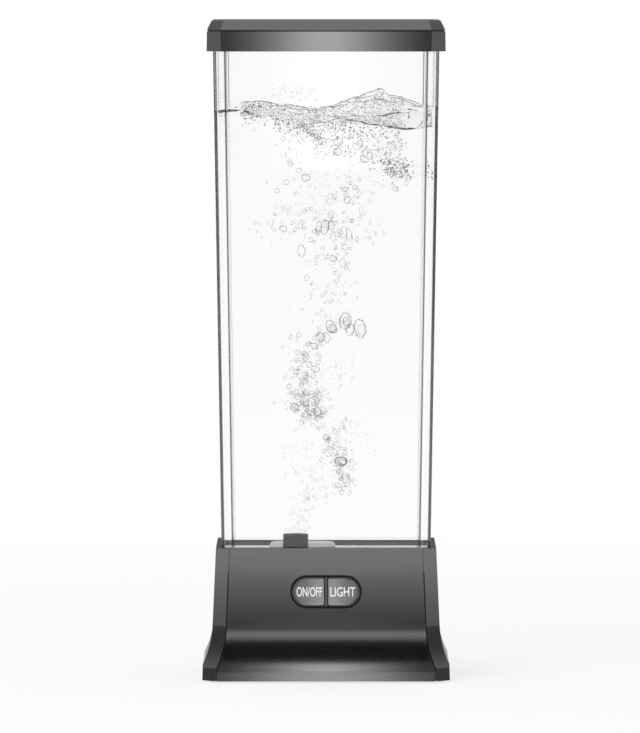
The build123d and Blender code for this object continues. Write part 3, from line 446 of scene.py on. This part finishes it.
def outline(height, overlap, steps):
    """Points round the inside of the tank at a height, evenly spaced on each side."""
    half_x, half_y, cut = inside_section(height, overlap)
    corners = [
        (half_x, cut - half_y),
        (half_x, half_y - cut),
        (half_x - cut, half_y),
        (cut - half_x, half_y),
        (-half_x, half_y - cut),
        (-half_x, cut - half_y),
        (cut - half_x, -half_y),
        (half_x - cut, -half_y),
    ]
    points = []
    for here, there, count in zip(corners, corners[1:] + corners[:1], steps):
        for i in range(count):
            t = i / count
            points.append((here[0] + (there[0] - here[0]) * t, here[1] + (there[1] - here[1]) * t))
    return points


# Places in the picture of the moving surface, along four lines across the tank from front to back
swell_front = -30
swell_step = 20
swell = (
    (
        (212, 112), (228, 111), (240, 110), (262, 113), (300, 124), (322, 124), (340, 120.5), (356, 121.5),
        (375, 124.5), (392, 127), (402, 129), (415, 128.5), (430, 127), (440, 126),
    ),
    (
        (212, 111), (240, 108.5), (265, 109), (300, 113), (322, 115), (345, 117), (365, 117), (382, 116.5),
        (402, 113), (412, 110.5), (426, 112), (440, 111),
    ),
    (
        (212, 110), (240, 106), (262, 105), (285, 107), (312, 110), (330, 108), (345, 104), (362, 102),
        (378, 98), (392, 102), (404, 104), (424, 108), (440, 109),
    ),
    (
        (212, 109), (236, 108.5), (244, 102.5), (262, 101.8), (277, 103.5), (292, 105), (315, 107),
        (330, 105.5), (345, 100.5), (357, 96.5), (370, 92.5), (380, 88.5), (391, 95.5), (401, 96.6),
        (408, 100.5), (424, 104.5), (440, 106.5),
    ),
)
lines = [[place(px, py, swell_front + swell_step * i) for px, py in line] for i, line in enumerate(swell)]

# Waves on top of that: length across, length from front to back, height and seed of each
waves = ((11, 9, 0.9, 1.7), (4.2, 3.6, 0.55, 5.1))

# They calm down towards the walls, over a run before these distances from the middle
calm_half = (52, 33)
calm_run = (7, 6)
least_wave = 0.15


def eased(t):
    """Smooth step from 0 to 1."""
    return t * t * (3 - 2 * t)


def along(line, x):
    """Smooth height at x along a line of (x, height)."""
    for (x0, z0), (x1, z1) in zip(line, line[1:]):
        if x <= x1:
            return z0 + (z1 - z0) * eased(min(max((x - x0) / (x1 - x0), 0), 1))
    return line[-1][1]


def water_height(x, y):
    """Height of the moving water surface."""
    t = min(max((y - swell_front) / swell_step, 0), len(lines) - 1.001)
    near = int(t)
    blend = eased(t - near)
    level = along(lines[near], x) * (1 - blend) + along(lines[near + 1], x) * blend
    calm = min(1, (calm_half[1] - abs(y)) / calm_run[1], (calm_half[0] - abs(x)) / calm_run[0])
    chop = sum(noise.noise(Vector((x / wide, y / deep, seed))) * tall for wide, deep, tall, seed in waves)
    return level + chop * max(calm, least_wave)


water_rim = 265.0
wall_overlap = 0.05
side_steps = (40, 6, 66, 6, 40, 6, 66, 6)
water_rings = 26


def water_body():
    """The water: its surface in rings from the middle outward, its sides and its floor."""
    rim = outline(water_rim, wall_overlap, side_steps)
    count = len(rim)
    points = [(0, 0, water_height(0, 0))]
    for ring in range(1, water_rings + 1):
        share = ring / water_rings
        points += [(x * share, y * share, water_height(x * share, y * share)) for x, y in rim]
    low = len(points)
    points += [(x, y, water_low) for x, y in outline(water_low, wall_overlap, side_steps)]
    faces = []
    for i in range(count):
        j = (i + 1) % count
        faces.append((0, 1 + i, 1 + j))
        for ring in range(water_rings):
            a = 1 + ring * count
            faces.append((a + i, a + count + i, a + count + j, a + j))
    faces.append(tuple(range(low + count - 1, low - 1, -1)))
    body = mesh_object("water", points, faces, clear("water", clear_colour, 1.333))
    for polygon in body.data.polygons:
        polygon.use_smooth = polygon.normal.z > 0.5
    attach(body, "base")


water_body()


# Fine lines of painted shade on the surface: thin dark threads where it meets the front and back walls, and
# along its crests

thread_sides = 6
thread_step = 0.7
thread_fewest = 8
thread_lift = 0.05
thread_taper = 6
thread_least = 0.12
thread_thin = 0.55
thread_swell = 0.9


def level_at(depth):
    """Path at one depth."""
    return lambda x: depth


def swaying(depth, sway, wave):
    """Path that drifts to and fro about a depth."""
    return lambda x: depth + sway * math.sin(x / wave)


def cornered(depth, corner):
    """Path along the front wall that follows the cut corner from a distance off the middle."""
    return lambda x: depth + max(0.0, abs(x) - corner)


def thread(points, quads, start, end, depth_at, radius):
    """Thin tapered thread along the surface from one x to another."""
    length = max(thread_fewest, int(abs(end - start) / thread_step))
    base = len(points)
    for i in range(length + 1):
        t = i / length
        x = start + (end - start) * t
        y = depth_at(x)
        z = water_height(x, y) + thread_lift
        uneven = thread_thin + thread_swell * abs(noise.noise(Vector((x * 0.35, y, 9.3))))
        size = radius * uneven * max(thread_least, min(1, thread_taper * t, thread_taper * (1 - t)))
        for k in range(thread_sides):
            a = 2 * math.pi * k / thread_sides
            points.append((x, y + size * math.cos(a), z + size * math.sin(a)))
    for i in range(length):
        for k in range(thread_sides):
            a = base + thread_sides * i + k
            b = base + thread_sides * i + (k + 1) % thread_sides
            quads.append((a, b, b + thread_sides, a + thread_sides))


# Each row of the two tables: start and end across the tank, path and radius
fine_threads = (
    (-48.0, -20.0, level_at(29.2), 0.28),
    (-37.0, 6.0, swaying(24, 4, 9), 0.24),
    (-30.0, 8.0, swaying(12, 3, 7), 0.18),
    (3.0, 26.0, level_at(29.3), 0.3),
    (4.0, 23.0, swaying(22, 2, 5), 0.26),
    (8.0, 34.0, swaying(10, 3, 6), 0.22),
    (24.0, 47.5, level_at(29.3), 0.32),
    (30.0, 48.0, swaying(20, 2, 4), 0.3),
    (-12.0, 9.0, swaying(-26, 2, 5), 0.24),
    (22.0, 36.0, swaying(-10, 2, 4), 0.36),
)
bold_threads = (
    (-51.0, -39.2, cornered(-29.2, 43.5), 0.85),
    (-38.0, -35.0, level_at(-29.0), 0.7),
    (7.0, 28.0, level_at(-29.4), 0.34),
    (26.0, 42.5, level_at(-29.3), 0.5),
    (25.0, 35.0, level_at(-9.0), 0.42),
    (39.5, 44.0, level_at(4.0), 0.4),
    (37.5, 42.5, level_at(-5.0), 0.32),
)
# Painted shade: dark threads along the surface, drawn with the bubbles' grey-rimmed skin
for name, rows, rim_tone, middle_tone in (
    ("ripple_shade_lines", fine_threads, 0.16, 0.6),
    ("edge_shade_lines", bold_threads, 0.03, 0.2),
):
    points, quads = [], []
    for row in rows:
        thread(points, quads, *row)
    made = mesh_object(name, points, quads, bubble_film(name, rim_tone, middle_tone, 0.1, 0.7))
    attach(made, "base")


# Bubbles

def icosphere(divisions):
    """Points and faces of a unit ball."""
    bm = bmesh.new()
    bmesh.ops.create_icosphere(bm, subdivisions=divisions, radius=1.0)
    points = np.array([v.co for v in bm.verts])
    faces = np.array([[v.index for v in f.verts] for f in bm.faces])
    bm.free()
    return points, faces


balls = {n: icosphere(n) for n in (1, 2, 3)}

# Bubbles over this radius are uneven by this share of it
uneven_radius = 1.2
uneven_share = 0.3
uneven_scale = 0.45


class Bubbles:
    """Many bubbles gathered into one mesh."""

    def __init__(self, name, material):
        self.name, self.material = name, material
        self.points, self.faces, self.total = [], [], 0

    def add(self, x, y, z, radius, flat=1.0, lean=0.0, divisions=1):
        """Bubble at a place, flat being its height over its width and lean its turn in radians."""
        points, faces = balls[divisions]
        points = points * (radius, radius, radius * flat)
        if radius > uneven_radius:
            wave = np.array([noise.noise(Vector(p * uneven_scale) + Vector((x, y, z))) for p in points])
            points = points * (1 + uneven_share * wave[:, None])
        c, s = math.cos(lean), math.sin(lean)
        across = points[:, 0] * c + points[:, 2] * s
        up = points[:, 2] * c - points[:, 0] * s
        self.points.append(np.column_stack((across, points[:, 1], up)) + (x, y, z))
        self.faces.append(faces + self.total)
        self.total += len(points)

    def finish(self):
        made = mesh_object(self.name, np.vstack(self.points), np.vstack(self.faces), self.material)
        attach(made, "base")


single = Bubbles("bubbles_single", bubble_film("bubble_ringed", 0.2, 0.99, 0.45, 0.85))
plume = Bubbles("bubbles_plume", bubble_film("bubble_small", 0.42, 0.985, 0.38, 0.85))
mist = Bubbles("bubbles_mist", bubble_film("bubble_faint", 0.82, 0.99, 0.20, 0.90))
foam = Bubbles("bubbles_foam", bubble_film("bubble_tiny", 0.22, 0.72, 0.20, 0.80))

# Bubbles of a cloud stay within these distances from the middle and keep this far under the surface
cloud_half = (45, 24)
under_surface = 0.4
size_fall = 2.2
cloud_flat = (0.75, 1.2)
cloud_lean = (-0.6, 0.6)


def cluster(group, number, px, py, wide, tall, sizes, depth=9.0, divisions=1, middle=0.0):
    """Seeded cloud of bubbles round a place in the picture.

    Wide and tall are its standard spreads in pixels, and depth in millimetres about a middle depth.
    """
    centre_x, centre_z = place(px, py, middle)
    for _ in range(number):
        x = random.gauss(centre_x, wide / pixels_per_mm)
        z = random.gauss(centre_z, tall / pixels_per_mm)
        y = max(-cloud_half[1], min(cloud_half[1], random.gauss(middle, depth)))
        radius = sizes[0] + (sizes[1] - sizes[0]) * random.random() ** size_fall
        if z + radius > water_height(x, y) - under_surface or abs(x) > cloud_half[0]:
            continue
        group.add(x, y, z, radius, random.uniform(*cloud_flat), random.uniform(*cloud_lean), divisions)


# Clouds from the nozzle up to the surface, in the order of the cluster function's values
clouds = (
    (mist, 60, 300, 520, 6, 8, (0.3, 0.9), 2.5, 2, -9.1),
    (mist, 70, 306, 498, 9, 10, (0.3, 1.0), 4, 2, -8),
    (mist, 70, 317, 478, 13, 10, (0.3, 1.1), 6, 2, -6),
    (mist, 50, 300, 452, 14, 10, (0.3, 0.9), 7, 2, -3),
    (plume, 46, 345, 476, 6, 8, (0.3, 1.3), 5),
    (plume, 60, 339, 458, 7, 7, (0.3, 1.5), 6),
    (plume, 70, 332, 441, 7, 7, (0.25, 1.2), 6),
    (plume, 30, 346, 428, 6, 8, (0.25, 1.0), 6),
    (plume, 30, 352, 440, 12, 14, (0.2, 0.7), 9),
    (plume, 40, 318, 420, 7, 6, (0.25, 0.9), 6),
    (plume, 110, 308, 409, 10, 8, (0.3, 1.6), 7),
    (plume, 60, 301, 396, 9, 8, (0.3, 1.3), 7),
    (plume, 40, 316, 392, 10, 8, (0.25, 1.1), 8),
    (plume, 46, 303, 375, 8, 8, (0.3, 1.6), 8),
    (plume, 30, 330, 378, 14, 14, (0.2, 0.9), 9),
    (plume, 40, 305, 352, 9, 9, (0.3, 1.4), 8),
    (plume, 20, 345, 365, 8, 14, (0.2, 0.7), 9),
    (plume, 40, 338, 325, 12, 6, (0.2, 0.9), 6),
    (plume, 36, 318, 305, 14, 10, (0.25, 1.0), 9),
    (plume, 30, 336, 290, 12, 9, (0.25, 1.1), 9),
    (plume, 60, 335, 262, 11, 10, (0.25, 1.2), 8),
    (plume, 56, 330, 230, 10, 9, (0.3, 1.4), 8),
    (plume, 40, 350, 226, 12, 10, (0.25, 1.2), 8),
    (plume, 40, 300, 218, 16, 12, (0.25, 1.2), 10),
    (plume, 24, 374, 230, 9, 8, (0.2, 0.8), 9),
    (plume, 20, 275, 232, 12, 18, (0.25, 1.0), 10),
    (mist, 70, 315, 208, 22, 16, (0.5, 1.5), 11, 2),
    (mist, 60, 345, 185, 24, 14, (0.5, 1.4), 11, 2),
    (plume, 26, 352, 192, 8, 8, (0.25, 1.1), 9),
    (plume, 24, 290, 160, 6, 10, (0.25, 0.9), 10),
    (plume, 50, 330, 146, 8, 7, (0.25, 1.1), 9),
    (plume, 90, 362, 146, 12, 9, (0.25, 1.1), 10),
    (plume, 60, 384, 150, 9, 8, (0.25, 0.9), 10),
    (foam, 260, 396, 168, 8, 7, (0.18, 0.45), 8),
    (foam, 90, 405, 172, 5, 6, (0.18, 0.45), 8),
    (foam, 60, 384, 160, 6, 6, (0.18, 0.45), 8),
    (plume, 18, 398, 145, 6, 5, (0.3, 1.0), 8),
)
for cloud in clouds:
    cluster(*cloud)

# Grey tongue that the foam sends down beside the plume
tongue = ((302, 124), (306, 128), (310, 132), (315, 136), (320, 140))
tongue_number = 60
for px, py in tongue:
    cluster(foam, tongue_number, px, py, wide=3.2, tall=2.6, sizes=(0.16, 0.36), depth=8)

# Foam under the surface: how many, its ends in the picture, its depths and how far it hangs down
foam_number = 2600
foam_ends = (241, 402)
foam_depths = (-27, 28)
foam_reaches = ((275, 1.4), (330, 3.4), (math.inf, 5.0))
foam_longest = 16
foam_gap = 0.2


def fine_radius(least, span):
    """Radius of a fine bubble, mostly near the least."""
    return least + span * random.random() ** 2


def hanging_foam():
    """Foam that hangs just under the surface, further down towards the right."""
    for _ in range(foam_number):
        px = random.uniform(*foam_ends)
        y = random.uniform(*foam_depths)
        x = (px - lamp_middle) / pixels_per_mm
        reach = next(reach for end, reach in foam_reaches if px < end)
        fall = random.expovariate(1 / reach)
        radius = fine_radius(0.17, 0.3)
        z = water_height(x, y) - radius - foam_gap - min(fall, foam_longest)
        foam.add(x, y, z, radius, random.uniform(0.7, 1.1))


# Froth on the surface: how many, its ends in the picture and its depths
froth_number = 1700
froth_ends = (241, 404)
froth_depths = (-28, 28.5)
froth_lift = 0.35


def floating_froth():
    """Froth that floats on the surface."""
    for _ in range(froth_number):
        px = random.uniform(*froth_ends)
        y = random.uniform(*froth_depths)
        x = (px - lamp_middle) / pixels_per_mm
        radius = fine_radius(0.15, 0.26)
        foam.add(x, y, water_height(x, y) + froth_lift * radius, radius, random.uniform(0.6, 1.0))


# Spray on the back wall: how many droplets, their middle and spread in the picture, and their depth
spray_number = 150
spray_middle = (296, 93)
spray_spread = (16, 4.5)
spray_depth = 29
spray_gap = 0.3
spray_share = 0.6


def spray():
    """Droplets of spray on the back wall over the water."""
    for _ in range(spray_number):
        px = random.gauss(spray_middle[0], spray_spread[0])
        py = random.gauss(spray_middle[1], spray_spread[1])
        x, z = place(px, py, spray_depth)
        radius = fine_radius(0.25, 0.5)
        wall = inside_section(z, 0)[1]
        if z - radius > water_height(x, spray_depth) + spray_gap:
            mist.add(x, wall - spray_share * radius, z, radius)


hanging_foam()
floating_froth()
spray()

# Small bubbles that cling to the row of large ones halfway up: place in the picture and how many
clinging = ((345, 322, 26), (360, 330, 12), (333, 327, 14), (321, 338, 30), (313, 346, 8))
for px, py, number in clinging:
    cluster(plume, number, px, py, wide=3.2, tall=3.6, sizes=(0.25, 0.9), depth=3)

# Single large bubbles: place, width, height and lean in the picture, and depth in the tank
large_bubbles = (
    (298.8, 169.9, 5.4, 5.4, 0.0, -10),
    (305.4, 177.1, 8.2, 7.6, 0.4, -6),
    (286.4, 181.4, 5.0, 6.0, 0.3, -2),
    (277.5, 189.5, 5.0, 4.6, 0.0, 4),
    (290.5, 163.0, 4.5, 6.5, -0.3, 2),
    (290.0, 159.5, 4.0, 5.0, 0.2, 8),
    (283.5, 138.5, 4.4, 4.4, 0.0, -8),
    (337.2, 151.3, 8.4, 8.0, 0.0, -12),
    (338.6, 141.0, 9.0, 9.0, 0.2, -4),
    (363.9, 158.2, 8.4, 6.6, 0.5, -9),
    (369.8, 155.0, 5.0, 8.0, -0.4, -3),
    (359.6, 142.0, 6.0, 7.0, 0.0, 5),
    (354.8, 186.6, 5.4, 4.6, 0.0, -6),
    (345.8, 188.3, 7.6, 4.0, -0.5, 3),
    (395.5, 187.5, 6.5, 5.5, 0.7, 0),
    (347.0, 199.0, 6.0, 8.0, 0.3, 6),
    (361.0, 209.5, 3.6, 8.0, 0.1, -5),
    (318.5, 228.0, 5.6, 16.0, 0.15, -4),
    (325.0, 226.0, 8.0, 15.0, 0.1, -10),
    (331.0, 224.0, 7.0, 9.0, -0.2, 2),
    (330.5, 213.5, 5.4, 8.4, 0.0, 8),
    (349.3, 233.9, 6.0, 13.0, -0.2, -7),
    (344.0, 231.0, 6.5, 12.0, 0.1, 2),
    (301.5, 249.5, 7.5, 12.0, -0.1, 6),
    (283.5, 227.5, 8.0, 6.0, 0.2, 3),
    (300.5, 223.5, 5.0, 9.0, 0.1, -8),
    (345.0, 246.0, 7.0, 6.0, 0.4, 0),
    (333.0, 257.5, 7.5, 6.5, 0.3, -6),
    (343.0, 262.5, 6.5, 7.5, 0.0, 4),
    (306.5, 276.5, 5.4, 6.4, 0.2, 3),
    (360.5, 327.8, 11.0, 20.5, -0.12, -9),
    (345.4, 319.5, 12.0, 17.0, 0.15, -5),
    (350.0, 328.0, 9.0, 12.0, 0.1, 2),
    (331.5, 326.0, 10.5, 14.0, -0.5, -7),
    (326.0, 337.0, 8.5, 10.0, -0.1, -11),
    (320.0, 336.0, 9.0, 9.0, 0.5, 2),
    (314.5, 344.8, 8.0, 6.0, 0.2, -4),
    (305.8, 356.0, 6.5, 7.5, 0.3, 1),
    (315.5, 368.0, 8.0, 7.0, 0.2, -5),
    (305.0, 373.5, 6.0, 9.0, 0.0, 3),
    (317.5, 410.0, 7.0, 11.0, -0.1, -6),
    (294.5, 406.0, 9.5, 8.5, 0.4, -2),
    (306.0, 391.0, 7.0, 7.0, 0.0, 5),
    (323.5, 408.5, 5.0, 8.0, -0.2, 4),
    (326.0, 436.0, 7.0, 6.0, 0.3, -3),
    (341.0, 460.0, 13.0, 9.0, 0.2, -6),
    (346.0, 478.0, 7.0, 14.0, -0.3, 1),
)

# A bubble at least this wide in the picture holds a smaller one, a little before it
double_wide = 9.5
inner_ahead = 1.5

# The inner bubble's radius and its shift to the right and down, in millimetres for each pixel of size
inner_radius = 1 / 7
inner_right = 1 / 24
inner_down = 1 / 30

for px, py, wide, tall, lean, depth in large_bubbles:
    x, z = place(px, py, depth)
    single.add(x, depth, z, wide / (2 * pixels_per_mm), tall / wide, lean, 3)
    if wide >= double_wide:
        x += wide * inner_right
        z -= tall * inner_down
        single.add(x, depth - inner_ahead, z, wide * inner_radius, tall / wide, lean, 3)
for group in (single, plume, foam, mist):
    group.finish()


# Labels

label_front = 0.06
label_back = -0.05
label_tall = 4.4
ink = surface("label_ink", (0.93, 0.93, 0.93), 0.5, spread=0.03, grain=3000, depth=0.01)


def label(text, width, middle, body_name, button):
    """White lettering printed on a button's crowned face."""
    curve = bpy.data.curves.new("label_" + button, "FONT")
    curve.body = text
    curve.align_x = "CENTER"
    curve.align_y = "CENTER"
    curve.size = 1.0
    curve.offset = 0.012
    curve.extrude = 0.004
    curve.resolution_u = 6
    flat = bpy.data.objects.new("flat", curve)
    bpy.context.scene.collection.objects.link(flat)
    mesh = final_mesh(flat)
    bpy.data.objects.remove(flat)
    letters = np.array([v.co for v in mesh.vertices])
    low, high = letters.min(0), letters.max(0)
    u = (letters[:, 0] - (low[0] + high[0]) / 2) / (high[0] - low[0]) * width + middle
    v = (letters[:, 1] - (low[1] + high[1]) / 2) / (high[1] - low[1]) * label_tall
    lift = cap_front - u**2 / (2 * cap_crown) + np.where(letters[:, 2] > 0, label_front, label_back)
    origin = np.array((0, -button_depth, button_height))
    out = np.array((0, -math.cos(button_tilt), math.sin(button_tilt)))
    up = np.array((0, math.sin(button_tilt), math.cos(button_tilt)))
    printed = origin + u[:, None] * (1, 0, 0) + v[:, None] * up + lift[:, None] * out
    for vertex, point in zip(mesh.vertices, printed):
        vertex.co = point * MM
    made = bpy.data.objects.new(body_name + "_label", mesh)
    mesh.materials.clear()
    mesh.materials.append(ink)
    bpy.context.scene.collection.objects.link(made)
    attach(made, body_name)


label("ON/OFF", 11.8, -7.7, "on_off_button", "on_off")
label("LIGHT", 11.6, 7.7, "light_button", "light")


# Studio floor

white = (1.0, 1.0, 1.0)
floor_half = 12000
floor_tint = (0.9, 0.9, 0.9, 1)
behind_grey = (0.3, 0.3, 0.3)

# The ramps on the floor's reflections span this distance from the lamp, in metres
reflection_span = 5.0

# By direction in front of the lamp: bright to the sides, dark further in, bright towards the camera
wedge = ((0.0, 1.0), (0.72, 1.0), (0.84, 0.15), (0.955, 0.15), (0.992, 1.0), (1.0, 1.0))

# By distance: the floor in front, where the wedge takes effect, the floor behind, and to the sides
front_floor = ((0.0, 0.86), (0.08, 0.88), (0.14, 1.0), (0.2, 0.95), (0.3, 0.58), (0.6, 0.37), (1.0, 0.31))
wedge_reach = ((0.0, 0.0), (0.12, 0.0), (0.3, 1.0), (1.0, 1.0))
behind_reach = ((0.0, 1.0), (0.1, 1.0), (0.16, 0.0), (1.0, 0.0))
flank_floor = ((0.0, 1.0), (0.2, 1.0), (0.35, 0.9), (0.6, 0.62), (1.0, 0.45))

# By direction: what counts as behind the lamp, and what as beside it
behind_stops = ((0.0, 0.0), (0.8, 0.0), (0.9, 1.0), (1.0, 1.0))
beside_stops = ((0.0, 0.0), (0.9, 0.0), (0.96, 1.0), (1.0, 1.0))

# Share of plain white in the floor by distance in metres: the rest is a lit card that keeps the shadow
whiteness = ((0.0, 0.72), (0.25, 0.72), (0.95, 1.0), (1.0, 1.0))


def floor_reflection(tree, spot, away):
    """Tone of the floor in reflections, by its distance from the lamp and by the side it lies on."""
    distance = tree.math("MULTIPLY", away, 1 / reflection_span)
    forward = tree.math("DIVIDE", tree.math("MULTIPLY", spot[1], -1.0), away)
    wedged = tree.mix(tree.ramp(distance, wedge_reach), white, tree.ramp(forward, wedge))
    tone = tree.mix(1.0, tree.ramp(distance, front_floor), wedged, "MULTIPLY")
    backward = tree.math("DIVIDE", spot[1], away)
    behind = tree.math("MULTIPLY", tree.ramp(backward, behind_stops), tree.ramp(distance, behind_reach))
    tone = tree.mix(behind, tone, behind_grey)
    sideways = tree.math("DIVIDE", tree.math("ABSOLUTE", spot[0]), away)
    beside = tree.ramp(sideways, beside_stops)
    return tree.mix(beside, tone, tree.ramp(distance, flank_floor))


def studio_floor():
    """White floor that keeps the lamp's shadow."""
    pale = bpy.data.materials.new("studio_floor")
    tree = Tree(pale)
    path = tree.add("ShaderNodeLightPath").outputs
    spot = tree.axes()
    squares = [tree.math("MULTIPLY", spot[axis], spot[axis]) for axis in (0, 1)]
    away = tree.math("SQRT", tree.math("ADD", *squares))
    shiny = tree.math("MAXIMUM", path["Is Glossy Ray"], path["Is Transmission Ray"])
    seen = tree.math("MAXIMUM", path["Is Camera Ray"], shiny)
    share = tree.math("MULTIPLY", seen, tree.ramp(away, whiteness, "EASE"))
    mirrored = tree.math("SUBTRACT", path["Is Glossy Ray"], path["Is Transmission Ray"], clamp=True)
    level = tree.mix(mirrored, white, floor_reflection(tree, spot, away))
    card = tree.add("ShaderNodeBsdfDiffuse", {"Color": floor_tint})
    glow = tree.add("ShaderNodeEmission", {"Color": level, "Strength": 1.0})
    both = tree.add("ShaderNodeMixShader", {0: share, 1: card.outputs[0], 2: glow.outputs[0]})
    tree.add("ShaderNodeOutputMaterial", {"Surface": both.outputs[0]})
    corners = [(x * floor_half, y * floor_half, 0) for x, y in ((-1, -1), (1, -1), (1, 1), (-1, 1))]
    floor = mesh_object("floor", corners, [(0, 1, 2, 3)], pale, smooth=False)


studio_floor()


# Studio world

fill_strength = 0.75

# Brightness of the sky in reflections by its height, towards the lens and to the sides
front_sky = (
    (0.0, 0.42), (0.03, 0.27), (0.06, 0.085), (0.14, 0.05), (0.16, 0.8), (0.23, 0.8), (0.27, 0.39),
    (0.32, 0.0), (0.6, 0.0), (0.76, 0.78), (0.9, 0.82), (1.0, 0.52),
)
flank_sky = (
    (0.0, 0.38), (0.02, 0.25), (0.05, 0.15), (0.08, 0.12), (0.14, 0.11), (0.3, 0.12), (0.42, 0.14),
    (0.55, 0.28), (0.68, 0.45), (0.8, 0.55), (0.9, 0.9), (1.0, 1.0),
)

# What counts as before the lamp, and up to which height the wedge takes effect
before_stops = ((0.0, 0.0), (0.5, 0.0), (0.82, 1.0), (1.0, 1.0))
low_stops = ((0.0, 1.0), (0.1, 1.0), (0.2, 0.0), (1.0, 0.0))


def studio_world():
    """White for the camera, bright and dark strips for reflections, and an even fill for the rest."""
    world = bpy.data.worlds.new("studio")
    bpy.context.scene.world = world
    tree = Tree(world)
    path = tree.add("ShaderNodeLightPath").outputs
    sides = tree.axes("Generated")
    level_run = tree.math("SQRT", tree.math("SUBTRACT", 1.0, tree.math("MULTIPLY", sides[2], sides[2])))
    ahead = tree.math("DIVIDE", tree.math("MULTIPLY", sides[1], -1.0), level_run)
    narrow = tree.mix(tree.ramp(sides[2], low_stops), white, tree.ramp(ahead, wedge))
    toward = tree.mix(1.0, tree.ramp(sides[2], front_sky), narrow, "MULTIPLY")
    strips = tree.mix(tree.ramp(ahead, before_stops), tree.ramp(sides[2], flank_sky), toward)
    plain = tree.add("ShaderNodeBackground", {"Color": (*white, 1), "Strength": 1.0})
    boxes = tree.add("ShaderNodeBackground", {"Color": strips, "Strength": 1.0})
    fill = tree.add("ShaderNodeBackground", {"Color": (*white, 1), "Strength": fill_strength})
    glossy = path["Is Glossy Ray"]
    shiny = tree.add("ShaderNodeMixShader", {0: glossy, 1: fill.outputs[0], 2: boxes.outputs[0]})
    through = tree.math("MAXIMUM", path["Is Camera Ray"], path["Is Transmission Ray"])
    sky = tree.add("ShaderNodeMixShader", {0: through, 1: shiny.outputs[0], 2: plain.outputs[0]})
    tree.add("ShaderNodeOutputWorld", {"Surface": sky.outputs[0]})


studio_world()


# Key lamp

key_place = (-0.9, -1.1, 1.7)
key_target = (0, 0, 0.1)
key_size = 1.4
key_power = 18


def key_lamp():
    """Soft square lamp from the upper left, that neither the camera nor reflections show."""
    data = bpy.data.lights.new("key", "AREA")
    data.shape = "RECTANGLE"
    data.size = key_size
    data.size_y = key_size
    data.energy = key_power
    lamp = bpy.data.objects.new("key", data)
    lamp.location = key_place
    lamp.rotation_euler = (Vector(key_target) - Vector(key_place)).to_track_quat("-Z", "Y").to_euler()
    for way in ("camera", "transmission", "glossy"):
        setattr(lamp, "visible_" + way, False)
    bpy.context.scene.collection.objects.link(lamp)


key_lamp()


# Reflector cards before the lid and the foot

card_span = 0.1
lid_glow = ((0.0, 2.15), (0.08, 1.95), (0.2, 1.1), (0.33, 0.43), (0.5, 0.04), (1.0, 0.0))
lid_cover = ((0.0, 1.0), (1.0, 1.0))
foot_glow = ((0.0, 1.5), (0.2, 1.2), (0.4, 0.5), (0.55, 0.2), (1.0, 0.2))
foot_cover = ((0.0, 1.0), (0.5, 1.0), (0.7, 0.0), (1.0, 0.0))


def reflector(name, half, low, high, away, glow_stops, cover_stops):
    """Upright card before the lamp, brightest in the middle, that shows in reflections only."""
    sheen = bpy.data.materials.new(name)
    tree = Tree(sheen)
    aside = tree.math("MULTIPLY", tree.math("ABSOLUTE", tree.axes()[0]), 1 / card_span)
    glow = tree.add("ShaderNodeEmission", {"Color": tree.ramp(aside, glow_stops), "Strength": 1.0})
    bare = tree.add("ShaderNodeBsdfTransparent")
    cover = tree.ramp(aside, cover_stops)
    both = tree.add("ShaderNodeMixShader", {0: cover, 1: bare.outputs[0], 2: glow.outputs[0]})
    tree.add("ShaderNodeOutputMaterial", {"Surface": both.outputs[0]})
    corners = [(-half, 0, low), (half, 0, low), (half, 0, high), (-half, 0, high)]
    card = mesh_object(name, corners, [(0, 1, 2, 3)], sheen, smooth=False)
    card.location = (0, -away * MM, 0)
    for way in ("camera", "diffuse", "transmission", "volume_scatter", "shadow"):
        setattr(card, "visible_" + way, False)


reflector("lid_card", 250, 220, 420, 300, lid_glow, lid_cover)
reflector("foot_card", 70, 11, 27, 100, foot_glow, foot_cover)


# Camera and view

lens = bpy.data.cameras.new("camera")
lens.sensor_width = sensor_width
lens.lens = lens_length
lens.clip_start = 0.1
lens.clip_end = 200
camera = bpy.data.objects.new("camera", lens)
camera.location = (camera_x * MM, -camera_far * MM, camera_high * MM)
camera.rotation_euler = (math.pi / 2 - camera_tilt, 0, 0)
bpy.context.scene.collection.objects.link(camera)
bpy.context.scene.camera = camera

bounces = 24
clear_bounces = 64
bpy.context.scene.view_settings.view_transform = "Standard"
bpy.context.scene.cycles.transparent_max_bounces = clear_bounces
bpy.context.scene.cycles.max_bounces = bounces
bpy.context.scene.cycles.transmission_bounces = bounces
bpy.context.scene.cycles.glossy_bounces = bounces
